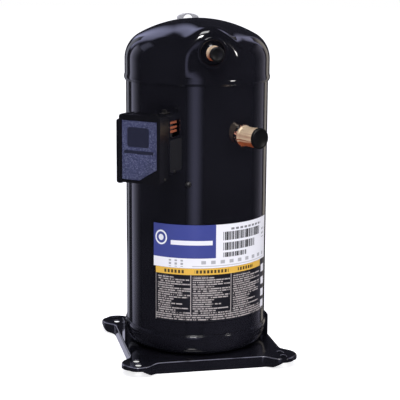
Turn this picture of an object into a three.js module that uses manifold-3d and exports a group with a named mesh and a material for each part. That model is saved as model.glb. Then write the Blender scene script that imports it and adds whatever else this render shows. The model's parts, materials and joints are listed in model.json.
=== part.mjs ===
// Hermetic scroll compressor, in millimetres, +Z up.
// The origin is on the shell's axis, in the plane of the mounting feet's undersides.
// Round pieces are turned about Z. Pieces that stand out of the shell are modelled facing -Y
// and turned about Z to their place.
import * as THREE from "three";
import { mergeVertices } from "three/addons/utils/BufferGeometryUtils.js";
import Module from "manifold-3d";

const wasm = await Module();
wasm.setup();

// ---- Driving dimensions ----

const gap = 0.3; // left between pieces that touch on the real object
const fitGap = 0.4; // the same, where a faceted round piece stands in a faceted hole
const overlap = 0.5; // how far solids reach into each other before they are joined
const deg = Math.PI / 180;

const shellRadius = 92.5; // outside of the rolled shell, a 7.3 inch size
const shellWall = 3.2;
const shellBottomZ = 24.3;
const shellTopZ = 364;
const shellSides = 32;
const boreRadius = shellRadius - shellWall; // inside of the shell
const fitRadius = boreRadius - fitGap; // outside of what is pressed into the shell
const shellClear = shellRadius + gap; // what stands on the shell starts here

const capRadius = 94.2; // outside of the top cap
const capSkirtZ = 353.1; // lower edge of the top cap
const capBead = 0.3; // how far the rolled edge of the skirt stands out
const capApexZ = 430.7;
const crownRadius = 154;
const knuckleRadius = 36.7;
const capWall = 3.6;

const bowlRadius = 94.5; // outside of the bottom cap's collar
const bowlFoot = 78; // where the bottom cap starts to curve up
const bowlTopZ = 31.1;
const bowlWall = 3.5;

const plateThickness = 2.2;
const footSpacing = 190.5; // between the centres of the feet, both ways
const plateHalf = 100; // half of the plate across its straight sides
const footHalf = 115; // half of the plate across its feet
const skirtDepth = 12.9; // how far the side skirts hang below the plate
const flare = 64; // how far along a side the plate stays straight
const lobe = 95; // where a foot is widest
const notch = 107.5; // corner of a foot

const dischargeZ = 393.6;
const padFace = 91.5; // flat of the discharge pad, from the axis
const padRadius = 24.5;
const padCentreZ = 397.1;
const padBottomZ = 371.5;
const dischargeRadius = 8.6;
const dischargeEnd = 116;

const suctionAzimuth = 27 * deg;
const suctionZ = 288.7;
const suctionRadius = 12.5;
const suctionEnd = 122;
const tubeWall = 1.2;

const boxAzimuth = -40 * deg;
const fenceHalf = 27.5;
const fenceBottomZ = 245;
const fenceTopZ = 320.5;
const fenceEnd = 123.1;
const fenceWall = 1.5;
const coverHalf = 29;
const coverBottomZ = 237;
const coverTopZ = 321.5;
const coverBack = 125.2;
const coverFront = 147.4;
const coverWall = 2;
const windowReach = [94.5, 119.5]; // opening in the side of the fence, from the axis
const windowZ = [292.6, 312.7];
const lipHalf = 25.2; // lip of the cover, inside the fence
const lipWall = 1.6;
const lipEnd = 116;
const terminalZ = 302.5;
const terminalRadius = 15.5;
const pinCircle = 8.5;
const pinRadius = 1.6;

const labelStart = -47 * deg;
const labelEnd = 61 * deg;
const labelRadius = 93;
const labelThickness = 0.5;

const throwRadius = 4.6; // radius of the orbit
const wrapBase = 2.7; // radius of the involute's base circle
const wrapThickness = 3.4;
const wrapStart = 1.35 * Math.PI;
const wrapEnd = 6.1 * Math.PI;
const thrustZ = 284; // land that carries the orbiting scroll
const orbitPlate = [thrustZ + gap, 294.3];
const fixedPlate = [322.3, 338.3];
const legAzimuths = [-7, 83, 173, 263].map((angle) => angle * deg);
const boltCircle = 81.2;
const boltRadius = 4;
const lugTopZ = 309; // top of the fixed scroll's lugs, under the bolts' heads
const keyRadii = [46, 58]; // the Oldham ring's keys, from its centre
const keywayAcross = [-6.9, 6.9];

const statorZ = [97, 187];
const rotorZ = [98, 186];
const rotorRadius = 39.3;
const statorBore = 40;
const shaftRadius = 14.5;
const journalRadius = 15;
const lowerJournal = 12;
const pinHeight = 281;

// ---- Solids ----

// A manifold solid from a closed three.js geometry, whichever way its faces wind.
function solid(geometry) {
  geometry.deleteAttribute("normal");
  geometry.deleteAttribute("uv");
  const merged = mergeVertices(geometry, 1e-4);
  const index = merged.index.array;
  const position = merged.attributes.position;
  const kept = [];
  for (let i = 0; i < index.length; i += 3) {
    const [a, b, c] = [index[i], index[i + 1], index[i + 2]];
    if (a !== b && b !== c && c !== a) kept.push([a, b, c]);
  }
  const corner = (n) => new THREE.Vector3().fromBufferAttribute(position, n);
  const volume = kept.reduce((sum, [a, b, c]) => sum + corner(a).dot(corner(b).cross(corner(c))), 0);
  const wound = volume < 0 ? kept.map(([a, b, c]) => [a, c, b]) : kept;
  return new wasm.Manifold(new wasm.Mesh({
    numProp: 3,
    vertProperties: new Float32Array(position.array),
    triVerts: new Uint32Array(wound.flat()),
  }));
}

// A three.js geometry from a manifold solid.
function geometry(body) {
  const data = body.getMesh();
  const result = new THREE.BufferGeometry();
  result.setAttribute("position", new THREE.BufferAttribute(new Float32Array(data.vertProperties), 3));
  result.setIndex(new THREE.BufferAttribute(new Uint32Array(data.triVerts), 1));
  result.computeVertexNormals();
  return result;
}

// Turned about Z: a profile of [radius, height] points that starts and ends on the axis, or is a loop.
function turned(profile, sides = 24) {
  const open = profile[0][0] === 0;
  const points = (open ? profile : [...profile, profile[0]]).map(([r, z]) => new THREE.Vector2(r, z));
  return solid(new THREE.LatheGeometry(points, sides).rotateX(Math.PI / 2));
}

function disc(radius, bottom, top, sides = 24) {
  return turned([[0, bottom], [radius, bottom], [radius, top], [0, top]], sides);
}

function ring(inner, outer, bottom, top, sides = 24) {
  return turned([[inner, bottom], [outer, bottom], [outer, top], [inner, top]], sides);
}

function block([x0, x1], [y0, y1], [z0, z1]) {
  const box = new THREE.BoxGeometry(x1 - x0, y1 - y0, z1 - z0);
  return solid(box.translate((x0 + x1) / 2, (y0 + y1) / 2, (z0 + z1) / 2));
}

// A flat outline, as a THREE.Shape or a list of points, raised from bottom to top along Z.
function prism(outline, bottom, top, curveSegments = 8) {
  const drawn = (points) => new THREE.Shape(points.map(([x, y]) => new THREE.Vector2(x, y)));
  const shape = Array.isArray(outline) ? drawn(outline) : outline;
  const settings = { depth: top - bottom, bevelEnabled: false, curveSegments };
  return solid(new THREE.ExtrudeGeometry(shape, settings).translate(0, 0, bottom));
}

// Lays a piece that was built along Z down, so that its +Z points along -Y and its +Y along +Z.
const layDown = (body) => body.rotate([90, 0, 0]);

// Turned about the line that runs outwards (along -Y) at height z.
const turnedOutwards = (profile, z, sides = 20) => layDown(turned(profile, sides)).translate([0, 0, z]);

const union = (...bodies) => bodies.reduce((all, body) => all.add(body));

const spin = (body, angle) => body.rotate([0, 0, angle / deg]);

// Where a radius meets an azimuth, counted from -Y towards +X.
const polar = (radius, azimuth) => [radius * Math.sin(azimuth), -radius * Math.cos(azimuth)];

// ---- Materials ----

const finish = (color, roughness, metalness) => ({ color, roughness, metalness });
const finishes = {
  enamel: finish(0x101218, 0.2, 0.1),
  plated: finish(0xd8d8dc, 0.25, 1),
  copper: finish(0xd98a5e, 0.25, 1),
  rubber: finish(0x17181b, 0.7, 0),
  cover: finish(0x23262c, 0.5, 0),
  insulator: finish(0x5a5d63, 0.6, 0),
  label: finish(0xe4e6ea, 0.4, 0),
  darkLabel: finish(0x2a2c33, 0.4, 0),
  castIron: finish(0x6f7072, 0.55, 0.8),
  steel: finish(0xa9abae, 0.35, 1),
  aluminium: finish(0xb9bcc0, 0.4, 1),
  bronze: finish(0xb08d57, 0.35, 1),
  winding: finish(0xa35a2c, 0.45, 0.6),
  lamination: finish(0x75777b, 0.5, 0.8),
};

const compressor = new THREE.Group();

function add(name, body, look, group = compressor) {
  const mesh = new THREE.Mesh(geometry(body), new THREE.MeshStandardMaterial(finishes[look]));
  mesh.name = name;
  group.add(mesh);
  return mesh;
}

// A group whose -Y axis points to an azimuth.
function facing(azimuth) {
  const group = new THREE.Group();
  group.rotation.z = azimuth;
  compressor.add(group);
  return group;
}

// ---- Shell and caps ----

// Torispherical dome: points from the top of the straight wall to the apex.
function domePoints(wallRadius, apexZ, knuckle, crown, kneeSteps, crownSteps) {
  const centreR = wallRadius - knuckle;
  const blend = Math.asin(centreR / (crown - knuckle));
  const kneeZ = apexZ - crown + (crown - knuckle) * Math.cos(blend);
  const points = [];
  for (let i = 0; i <= kneeSteps; i += 1) {
    const angle = Math.PI / 2 - (Math.PI / 2 - blend) * (i / kneeSteps);
    points.push([centreR + knuckle * Math.sin(angle), kneeZ + knuckle * Math.cos(angle)]);
  }
  for (let i = 1; i <= crownSteps; i += 1) {
    const angle = blend * (1 - i / crownSteps);
    points.push([crown * Math.sin(angle), apexZ - crown + crown * Math.cos(angle)]);
  }
  points[points.length - 1][0] = 0;
  return points;
}

// Arch of the discharge pad in the X-Z plane, laid so that it reaches outwards to y = -reach.
function arch(radius, bottomZ, back, reach) {
  const shape = new THREE.Shape();
  shape.moveTo(radius, bottomZ);
  shape.lineTo(radius, padCentreZ);
  shape.absarc(0, padCentreZ, radius, 0, Math.PI, false);
  shape.lineTo(-radius, bottomZ);
  shape.closePath();
  return layDown(prism(shape, back, reach, 7));
}

function topCap() {
  const innerRadius = capRadius - capWall;
  const beadRadius = capRadius + capBead;
  const outer = turned([
    [0, capSkirtZ], [beadRadius - 1, capSkirtZ], [beadRadius, capSkirtZ + 2], [beadRadius, capSkirtZ + 5],
    [capRadius, capSkirtZ + 7], ...domePoints(capRadius, capApexZ, knuckleRadius, crownRadius, 4, 2),
  ], shellSides);
  const inner = turned([
    [0, capSkirtZ - 1], [shellClear, capSkirtZ - 1], [shellClear, shellTopZ + gap],
    [innerRadius, shellTopZ + gap],
    ...domePoints(innerRadius, capApexZ - capWall, knuckleRadius - capWall, crownRadius - capWall, 3, 2),
  ], shellSides);
  const padBack = 40;
  const clear = 110;
  const padInside = padFace - capWall;
  const outerPad = arch(padRadius, padBottomZ, padBack, padFace);
  const innerPad = arch(padRadius - capWall, padBottomZ + capWall, padBack, padInside);
  const flat = block([-padRadius, padRadius], [-clear, -padFace], [padBottomZ, capApexZ]);
  const keepWall = block([-padRadius, padRadius], [-clear, -padInside], [padBottomZ - capWall, capApexZ]);
  const hole = turnedOutwards(
    [[0, padBack], [dischargeRadius + fitGap, padBack], [dischargeRadius + fitGap, clear], [0, clear]],
    dischargeZ);
  return outer.add(outerPad).subtract(flat).subtract(inner.subtract(keepWall).add(innerPad)).subtract(hole);
}

function bottomCap() {
  const underside = plateThickness + gap;
  const outside = [[bowlFoot, underside], [86.5, 8], [93.2, 20], [bowlRadius, 26], [bowlRadius, bowlTopZ]];
  const inside = [[90, 21.5], [83.5, 10.5], [bowlFoot - 2, underside + bowlWall]];
  return turned([
    [0, underside], ...outside, [shellClear, bowlTopZ], [shellClear, shellBottomZ - gap], ...inside,
    [0, underside + bowlWall],
  ], shellSides);
}

function shell() {
  const [near, far] = [boreRadius - 25, shellRadius + 10];
  const port = (radius, z, azimuth) =>
    spin(turnedOutwards([[0, near], [radius, near], [radius, far], [0, far]], z), azimuth);
  return ring(boreRadius, shellRadius, shellBottomZ, shellTopZ, shellSides)
    .subtract(port(suctionRadius + fitGap, suctionZ, suctionAzimuth))
    .subtract(port(terminalRadius + fitGap, terminalZ, boxAzimuth));
}

// A flat tab with a round hole, standing on the back of the dome across the Y axis.
function liftingLug() {
  const [halfWidth, halfThickness] = [14.2, 3];
  const [backY, shoulderZ, topZ] = [62, 429, 434.3];
  const [eyeZ, eyeRadius] = [424.6, 7];
  const rootZ = shoulderZ - 30; // inside the dome, before it is cut to the dome
  const outline = new THREE.Shape();
  outline.moveTo(-halfWidth, rootZ);
  outline.lineTo(halfWidth, rootZ);
  outline.lineTo(halfWidth, shoulderZ);
  outline.quadraticCurveTo(0, 2 * topZ - shoulderZ, -halfWidth, shoulderZ);
  outline.closePath();
  const eye = new THREE.Path();
  eye.absarc(0, eyeZ, eyeRadius, 0, 2 * Math.PI, false);
  outline.holes.push(eye);
  const tab = layDown(prism(outline, -backY - halfThickness, -backY + halfThickness, 12));
  const dome = turned([
    [0, capSkirtZ], [capRadius, capSkirtZ],
    ...domePoints(capRadius, capApexZ + gap, knuckleRadius, crownRadius + gap, 4, 3),
  ], shellSides);
  return tab.subtract(dome);
}

add("shell", shell(), "enamel");
add("top_cap", topCap(), "enamel");
add("bottom_cap", bottomCap(), "enamel");
add("lifting_lug", liftingLug(), "plated");

// ---- Base plate ----

// One side of the plate and the corner after it, in the frame of the side that faces -Y.
function sidePath(shape, turn) {
  const [c, s] = [Math.round(Math.cos(turn)), Math.round(Math.sin(turn))];
  const at = (x, y) => [c * x - s * y, s * x + c * y];
  const [ease, lobeEase, cornerEase] = [14, 20, 9];
  shape.lineTo(...at(flare, -plateHalf));
  shape.bezierCurveTo(
    ...at(flare + ease, -plateHalf), ...at(lobe - lobeEase, -footHalf), ...at(lobe, -footHalf));
  shape.quadraticCurveTo(...at(lobe + cornerEase, -footHalf), ...at(notch, -notch));
  shape.quadraticCurveTo(...at(footHalf, -lobe - cornerEase), ...at(footHalf, -lobe));
  shape.bezierCurveTo(
    ...at(footHalf, lobeEase - lobe), ...at(plateHalf, -flare - ease), ...at(plateHalf, -flare));
}

function plateOutline() {
  const shape = new THREE.Shape();
  shape.moveTo(-flare, -plateHalf);
  for (let side = 0; side < 4; side += 1) sidePath(shape, (side * Math.PI) / 2);
  return shape.getPoints(4).slice(0, -1).map((point) => [point.x, point.y]);
}

// The same outline moved inwards by a distance, corner by corner.
function inset(points, distance) {
  return points.map(([x, y], i) => {
    const [px, py] = points[(i + points.length - 1) % points.length];
    const [nx, ny] = points[(i + 1) % points.length];
    const length = Math.hypot(nx - px, ny - py);
    return [x - ((ny - py) / length) * distance, y + ((nx - px) / length) * distance];
  });
}

// Short slot with round ends, long along Y.
function slotCutter(x, y) {
  const [half, straight] = [4, 2.25];
  const shape = new THREE.Shape();
  shape.moveTo(x + half, y - straight);
  shape.lineTo(x + half, y + straight);
  shape.absarc(x, y + straight, half, 0, Math.PI, false);
  shape.lineTo(x - half, y - straight);
  shape.absarc(x, y - straight, half, Math.PI, 2 * Math.PI, false);
  return prism(shape, -1, plateThickness + 1, 3);
}

// What is cut away under the feet, on the four sides, so that they have only a short lip.
function skirtCutters() {
  const [lipBottom, slopeStart, slopeEnd] = [-3.5, 79, 92];
  const [near, far, low] = [88, footHalf + 5, -skirtDepth - 1];
  const outline = [[slopeStart, low], [far, low], [far, lipBottom], [slopeEnd, lipBottom]];
  const wedges = [-1, 1].map((mirror) => layDown(prism(outline.map(([x, z]) => [mirror * x, z]), near, far)));
  return [0, 1, 2, 3].flatMap((side) => wedges.map((wedge) => spin(wedge, (side * Math.PI) / 2)));
}

function basePlate() {
  const outline = plateOutline();
  let plate = prism(outline, -skirtDepth, plateThickness)
    .subtract(prism(inset(outline, plateThickness), -skirtDepth - 1, 0));
  for (const cutter of skirtCutters()) plate = plate.subtract(cutter);
  const slotPitch = 16;
  for (const x of [-1, 1]) {
    for (const y of [-1, 1]) {
      for (const step of [-0.5, 0.5]) {
        plate = plate.subtract(slotCutter((x * footSpacing) / 2, (y * footSpacing) / 2 + step * slotPitch));
      }
    }
  }
  const tab = [[bowlRadius + overlap, 98.4], [-11, 11], [1, bowlTopZ]]; // welded to the bottom cap
  return plate.add(block(...tab)).add(spin(block(...tab), Math.PI));
}

add("base_plate", basePlate(), "enamel");

// ---- Discharge and suction stubs ----

// The room that the shell takes, for a piece that is modelled in a group turned to an azimuth.
const shellCutter = (bottom, top, azimuth) => spin(disc(shellClear, bottom, top, shellSides), -azimuth);

// Tube that runs outwards, with a shallow swage at its mouth.
const stub = (radius, start, end, z) =>
  turnedOutwards([[radius - tubeWall, start], [radius, start], [radius, end], [radius - tubeWall, end]], z);

// Shipping plug: a spigot inside the tube and a wider flange over its end.
function plug(tubeRadius, end, flangeRadius, flangeThickness, z) {
  const [spigot, spigotLength, chamfer] = [tubeRadius - tubeWall - gap, 10, 1];
  const face = end + gap + flangeThickness;
  return turnedOutwards([
    [0, end - spigotLength], [spigot, end - spigotLength], [spigot, end + gap], [flangeRadius, end + gap],
    [flangeRadius, face - chamfer], [flangeRadius - chamfer, face], [0, face],
  ], z);
}

// Raised ring round the discharge stub, with a small chamfer.
function dischargeFerrule() {
  const [inner, outer, low, high, chamfer] = [15.5, 19.6, padFace + gap, padFace + 2.6, 0.8];
  return turnedOutwards([
    [inner, low], [outer, low], [outer, high - chamfer], [outer - chamfer, high], [inner, high],
  ], dischargeZ);
}

// Painted fitting that tapers from the shell to the suction stub.
function suctionCollar() {
  const [inner, near, far] = [suctionRadius + gap, 84, 95];
  const profile = [[inner, near], [15, near], [14.2, far - 1.5], [13.6, far], [inner, far]];
  return turnedOutwards(profile, suctionZ)
    .subtract(shellCutter(suctionZ - 30, suctionZ + 30, suctionAzimuth));
}

const dischargeGroup = facing(0);
add("discharge_ferrule", dischargeFerrule(), "enamel", dischargeGroup);
add("discharge_stub", stub(dischargeRadius, 82, dischargeEnd, dischargeZ), "copper", dischargeGroup);
add("discharge_plug", plug(dischargeRadius, dischargeEnd, 9.2, 3.2, dischargeZ), "rubber", dischargeGroup);

const suctionGroup = facing(suctionAzimuth);
add("suction_collar", suctionCollar(), "enamel", suctionGroup);
add("suction_stub", stub(suctionRadius, 85, suctionEnd, suctionZ), "copper", suctionGroup);
add("suction_plug", plug(suctionRadius, suctionEnd, 13.2, 4.2, suctionZ), "rubber", suctionGroup);

// Deflector inside the shell that turns the incoming gas up and down.
function suctionBaffle() {
  const [inner, outer, half, sheet] = [79, 80.6, 15 * deg, 1.2 * deg];
  const [from, to] = [-Math.PI / 2 - half, -Math.PI / 2 + half];
  const wing = boreRadius - 0.8;
  const wingTip = (angle) => [wing * Math.cos(angle), wing * Math.sin(angle)];
  const shape = new THREE.Shape();
  shape.absarc(0, 0, inner, from, to, false);
  shape.lineTo(...wingTip(to));
  shape.lineTo(...wingTip(to - sheet));
  shape.absarc(0, 0, outer, to - sheet, from + sheet, true);
  shape.lineTo(...wingTip(from + sheet));
  shape.lineTo(...wingTip(from));
  shape.closePath();
  return prism(shape, suctionZ - 19, suctionZ + 17, 6);
}
add("suction_baffle", suctionBaffle(), "steel", suctionGroup);

// ---- Terminal box ----

const boxGroup = facing(boxAzimuth);

// Rectangular frame around the outward line, between two distances from the axis.
const tunnel = (half, bottom, top, wall, near, far) => block([-half, half], [-far, -near], [bottom, top])
  .subtract(block([wall - half, half - wall], [-far - 1, 1 - near], [bottom + wall, top - wall]));

function terminalFence() {
  const near = 78;
  const window = block([fenceHalf - 5, fenceHalf + 1], [-windowReach[1], -windowReach[0]], windowZ);
  return tunnel(fenceHalf, fenceBottomZ, fenceTopZ, fenceWall, near, fenceEnd)
    .subtract(shellCutter(fenceBottomZ - 10, fenceTopZ + 10, boxAzimuth))
    .subtract(window);
}

function terminalCover() {
  const lipInset = fenceWall + 0.8;
  const outside = block([-coverHalf, coverHalf], [-coverFront, -coverBack], [coverBottomZ, coverTopZ]);
  const hollow = block([coverWall - coverHalf, coverHalf - coverWall],
    [coverWall - coverFront, 1 - coverBack], [coverBottomZ + coverWall, coverTopZ - coverWall]);
  const lip = tunnel(
    lipHalf, fenceBottomZ + lipInset, fenceTopZ - lipInset, lipWall, lipEnd, coverFront - 1);
  const rail = block([-36.5, 1 - coverHalf], [-143, -129], [234, 314]);
  const [left, right, bottom, top, panelDepth] = [-25.2, 24.4, 240.4, 314.5, 1.4];
  const panel = [[left, bottom], [-0.6, bottom], [right, bottom + 15.1], [right, top], [left, top]];
  const recess = layDown(prism(panel, coverFront - panelDepth, coverFront + 1));
  return outside.subtract(hollow).add(lip).add(rail).subtract(recess);
}

add("terminal_fence", terminalFence(), "enamel", boxGroup);
const gasketWall = 2.2;
add("cover_gasket",
  tunnel(coverHalf - 1.2, fenceBottomZ - 1.5, fenceTopZ, gasketWall, fenceEnd + gap, coverBack - gap),
  "rubber", boxGroup);
add("terminal_cover", terminalCover(), "cover", boxGroup);

// The three pins, and the copper strap that each carries: where it ends, and how far out it is bent.
const terminals = [
  { angle: 80 * deg, strapZ: 309, bend: 104 },
  { angle: 200 * deg, strapZ: 303, bend: 108 },
  { angle: 320 * deg, strapZ: 298.2, bend: 112 },
].map((one) => ({
  ...one,
  x: pinCircle * Math.cos(one.angle),
  z: terminalZ + pinCircle * Math.sin(one.angle),
}));

const rod = (radius, x, z, near, far, sides = 12) =>
  layDown(disc(radius, near, far, sides)).translate([x, 0, z]);

const drilled = (body, radius) =>
  terminals.reduce((rest, { x, z }) => rest.subtract(rod(radius, x, z, 50, 140)), body);

function terminalCup() {
  const [rim, base, face, skirt, shoulder] = [84, 86, 93, 11.5, 13.5];
  const profile = [
    [0, base], [skirt, base], [skirt, rim], [terminalRadius, rim], [terminalRadius, face - 2],
    [shoulder, face], [0, face],
  ];
  return drilled(turnedOutwards(profile, terminalZ), pinRadius + fitGap);
}

function terminalBlock() {
  const [half, above, near, far] = [16, 14, 94, 101];
  const body = block([-half, half], [-far, -near], [terminalZ - half, terminalZ + above]);
  return drilled(body, pinRadius + fitGap);
}

// Flat strap from the pin to the side of the box, with a bar along the window.
function terminalStrap({ x, z, strapZ, bend }) {
  const [eyeRadius, halfHeight, thickness, sideX] = [3.4, 1.5, 1.2, 22];
  const barReach = [95.5, lipEnd - 1];
  const angle = Math.atan2(strapZ - z, sideX - x);
  const across = [-halfHeight * Math.sin(angle), halfHeight * Math.cos(angle)];
  const arm = layDown(prism([
    [x - across[0], z - across[1]], [sideX, strapZ - halfHeight],
    [sideX, strapZ + halfHeight], [x + across[0], z + across[1]],
  ], bend, bend + thickness));
  const eye = rod(eyeRadius, x, z, bend, bend + thickness, 16);
  const bar = block([sideX - 0.1, sideX + thickness], [-barReach[1], -barReach[0]],
    [strapZ - halfHeight, strapZ + halfHeight]);
  return union(arm, eye, bar).subtract(rod(pinRadius + fitGap, x, z, 90, 130));
}

add("terminal_cup", terminalCup(), "steel", boxGroup);
add("terminal_block", terminalBlock(), "insulator", boxGroup);
terminals.forEach((terminal, i) => {
  const pin = rod(pinRadius, terminal.x, terminal.z, 76, terminal.bend + 3);
  add(`terminal_pin_${i + 1}`, pin, "steel", boxGroup);
  add(`terminal_strap_${i + 1}`, terminalStrap(terminal), "copper", boxGroup);
});

// Plug on the inner ends of the pins, and the bundle of leads down to the motor.
const connector = { x: [-14, 14], y: [-82, -75.2], z: [289, 314] };
add("lead_connector",
  drilled(block(connector.x, connector.y, connector.z), pinRadius + fitGap), "insulator", boxGroup);

function motorLeads() {
  const points = [[-79, connector.z[0] - gap], [-79, 262], [-77, 236], [-73, 212.8]];
  const route = new THREE.CatmullRomCurve3(points.map(([y, z]) => new THREE.Vector3(0, y, z)));
  const bundleRadius = 3;
  const section = new THREE.Shape();
  section.absarc(0, 0, bundleRadius, 0, 2 * Math.PI, false);
  return solid(new THREE.ExtrudeGeometry(section, { steps: 10, extrudePath: route, curveSegments: 5 }));
}
add("motor_leads", motorLeads(), "rubber", boxGroup);

// Hexagon-headed screw whose head stands outwards from near to far.
function screwHead(z, near, far, flats) {
  const washer = disc(flats / 2, near, near + 1, 20);
  const hexagon = disc(flats / Math.sqrt(3), near + 0.9, far, 6);
  return layDown(union(washer, hexagon)).translate([0, 0, z]);
}
const groundScrew = { azimuth: -18 * deg, z: 229, end: shellRadius + 5.5, flats: 8 };
add("ground_screw", screwHead(groundScrew.z, shellClear, groundScrew.end, groundScrew.flats), "plated",
  facing(groundScrew.azimuth));

// Spring clip over the top of the fence: its profile in the Y-Z plane, with a bent-up tongue.
const clip = { x: [14, 21], out: [108, 123], low: fenceTopZ + gap, high: 322, tongue: 326 };
const clipProfile = [
  [-clip.out[1], clip.low], [-clip.out[0], clip.low], [-clip.out[0], clip.high], [-115, clip.high],
  [-116.4, clip.tongue], [-117.8, clip.tongue], [-116.6, clip.high], [-clip.out[1], clip.high],
];
add("cover_clip", prism(clipProfile, ...clip.x).rotate([90, 0, 90]), "plated", boxGroup);

// ---- Labels ----

// Curved sheet that stands just off the shell.
function labelSheet(bottom, top, from, to) {
  const outline = new THREE.Shape();
  outline.absarc(0, 0, labelRadius, from - Math.PI / 2, to - Math.PI / 2, false);
  outline.absarc(0, 0, labelRadius + labelThickness, to - Math.PI / 2, from - Math.PI / 2, true);
  outline.closePath();
  return prism(outline, bottom, top, 12);
}
const labelSeamZ = 121.05; // the two labels meet here
add("name_label", labelSheet(labelSeamZ + gap / 2, 177.3, labelStart, labelEnd), "label");
add("caution_label", labelSheet(50.5, labelSeamZ - gap / 2, labelStart + 2 * deg, labelEnd), "darkLabel");

// ---- Gas passages above the scrolls ----

const reliefY = 54; // the relief valve stands behind the axis
const mufflerZ = [370.3, 373.3]; // raised middle of the partition
const seatTopZ = 377;

// Partition with a ring underneath for the floating seal and a rim on the shell's end.
function mufflerPlate() {
  const [rim, low, sheet] = [boreRadius + 0.8, shellTopZ + gap, mufflerZ[1] - mufflerZ[0]];
  const [port, sealLand, slopeStart, slopeEnd] = [11, { inner: 24, outer: 44, z: 363.8 }, 60, 78];
  const valveHole = disc(5.4, low - 5, mufflerZ[1] + 5, 12).translate([0, reliefY, 0]);
  return turned([
    [port, mufflerZ[0]], [sealLand.inner, mufflerZ[0]], [sealLand.inner, sealLand.z],
    [sealLand.outer, sealLand.z], [sealLand.outer, mufflerZ[0]], [slopeStart, mufflerZ[0]], [slopeEnd, low],
    [rim, low], [rim, low + sheet], [slopeEnd + 1, low + sheet], [slopeStart + 1, mufflerZ[1]],
    [port, mufflerZ[1]],
  ]).subtract(valveHole);
}

// Cage over the check valve's disc, with four windows for the gas.
function valveRetainer() {
  const [inner, outer, hole, low, roof, top] = [13.8, 16.5, 4, seatTopZ + gap, 384.3, 387];
  const cage = turned([[inner, low], [outer, low], [outer, top], [hole, top], [hole, roof], [inner, roof]]);
  const window = block([-3, 3], [-20, 20], [seatTopZ - 1, roof - 1.8]);
  return cage.subtract(window).subtract(spin(window, Math.PI / 2));
}

// Hollow valve body with a stop at each end for its poppet.
function reliefBody() {
  const [low, top, stop] = [363, 381, 2];
  const [bore, outside, flange, lowHole, topHole] = [3, 5, 7.5, 1.8, 1.5];
  return turned([
    [lowHole, low], [outside, low], [outside, mufflerZ[1] + gap], [flange, mufflerZ[1] + gap],
    [flange, seatTopZ], [outside, seatTopZ], [outside, top], [topHole, top], [topHole, top - stop],
    [bore, top - stop], [bore, low + 2.5], [lowHole, low + 2.5],
  ], 12).translate([0, reliefY, 0]);
}

function reliefPoppet() {
  const [low, shoulder, top, head, stem] = [365.8, 371, 376, 2.7, 1.2];
  return turned([[0, low], [head, low], [head, shoulder], [stem, shoulder], [stem, top], [0, top]], 12)
    .translate([0, reliefY, 0]);
}

// Ring that slides in the fixed scroll's groove, with an inner and an outer lip on top.
function floatingSeal() {
  const [inner, outer, low, body, web, lip] = [22.5, 45.5, 338.8, 355, 357, 361];
  const [outerLip, innerLip, lipThickness] = [42, 26.4, 1.6];
  return turned([
    [inner, low], [outer, low], [outer, body], [outerLip, body], [outerLip, lip],
    [outerLip - lipThickness, lip], [outerLip - lipThickness, web], [innerLip + lipThickness, web],
    [innerLip + lipThickness, lip], [innerLip, lip], [innerLip, body], [inner, body],
  ]);
}

add("muffler_plate", mufflerPlate(), "steel");
add("valve_seat", ring(8, 16, mufflerZ[1] + gap, seatTopZ), "steel");
add("valve_disc", disc(12.5, seatTopZ + gap, 378.8), "steel");
add("valve_retainer", valveRetainer(), "steel");
add("relief_body", reliefBody(), "bronze");
add("relief_poppet", reliefPoppet(), "steel");
add("floating_seal", floatingSeal(), "castIron");

// ---- Scrolls ----

// Wall along a circle's involute: out along its outer face and back along its inner face.
function scrollWrap(bottom, top) {
  const lag = wrapThickness / (2 * wrapBase);
  const face = (angle, shift) => [
    wrapBase * (Math.cos(angle) + (angle - shift) * Math.sin(angle)),
    wrapBase * (Math.sin(angle) - (angle - shift) * Math.cos(angle)),
  ];
  const steps = Math.round((wrapEnd - wrapStart) / (15 * deg));
  const angles = Array.from({ length: steps + 1 }, (_, i) => wrapStart + ((wrapEnd - wrapStart) * i) / steps);
  const outer = angles.map((angle) => face(angle, -lag));
  const inner = angles.map((angle) => face(angle, lag)).reverse();
  return prism([...outer, ...inner], bottom, top);
}

const boltHole = (azimuth) =>
  disc(boltRadius + overlap, 250, 330, 12).translate([...polar(boltCircle, azimuth), 0]);

// Modelled about its own centre, which orbits the shell's axis.
function orbitingScroll() {
  const [plateRadius, hub] = [68, { inner: 15.5, outer: 22, low: 262.5 }];
  const plate = disc(plateRadius, ...orbitPlate);
  const boss = ring(hub.inner, hub.outer, hub.low, orbitPlate[0] + overlap);
  const wrap = scrollWrap(orbitPlate[1] - overlap, fixedPlate[0] - gap);
  const keyway = block(keywayAcross, [41, 63], [orbitPlate[0] - 1, 290]);
  return union(plate, boss, wrap).subtract(keyway).subtract(spin(keyway, Math.PI));
}

function fixedScroll() {
  const [plateRadius, wallInner, wallLow, hubTop, portRadius] = [72, 61, 297, 352, 7];
  const plate = disc(plateRadius, ...fixedPlate);
  const wrap = spin(scrollWrap(orbitPlate[1] + gap, fixedPlate[0] + overlap), Math.PI);
  const wall = ring(wallInner, plateRadius, wallLow, fixedPlate[0] + overlap);
  const innerHub = ring(12, 22, fixedPlate[1] - overlap, hubTop);
  const outerHub = ring(46.3, 56, fixedPlate[1] - overlap, hubTop);
  const port = disc(portRadius, orbitPlate[1], fixedPlate[1] + 5, 16);
  const inlet = block([-12, 12], [-plateRadius - 3, 1 - wallInner], [wallLow + 3, fixedPlate[0] - 3]);
  const lug = block([-11, 11], [-86, -66], [wallLow, lugTopZ]);
  const drilledLugs = (body, azimuth) => body.add(spin(lug, azimuth)).subtract(boltHole(azimuth));
  return legAzimuths.reduce(drilledLugs, union(plate, wrap, wall, innerHub, outerHub))
    .subtract(port)
    .subtract(spin(inlet, suctionAzimuth))
    .subtract(spin(inlet, suctionAzimuth + Math.PI));
}

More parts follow.
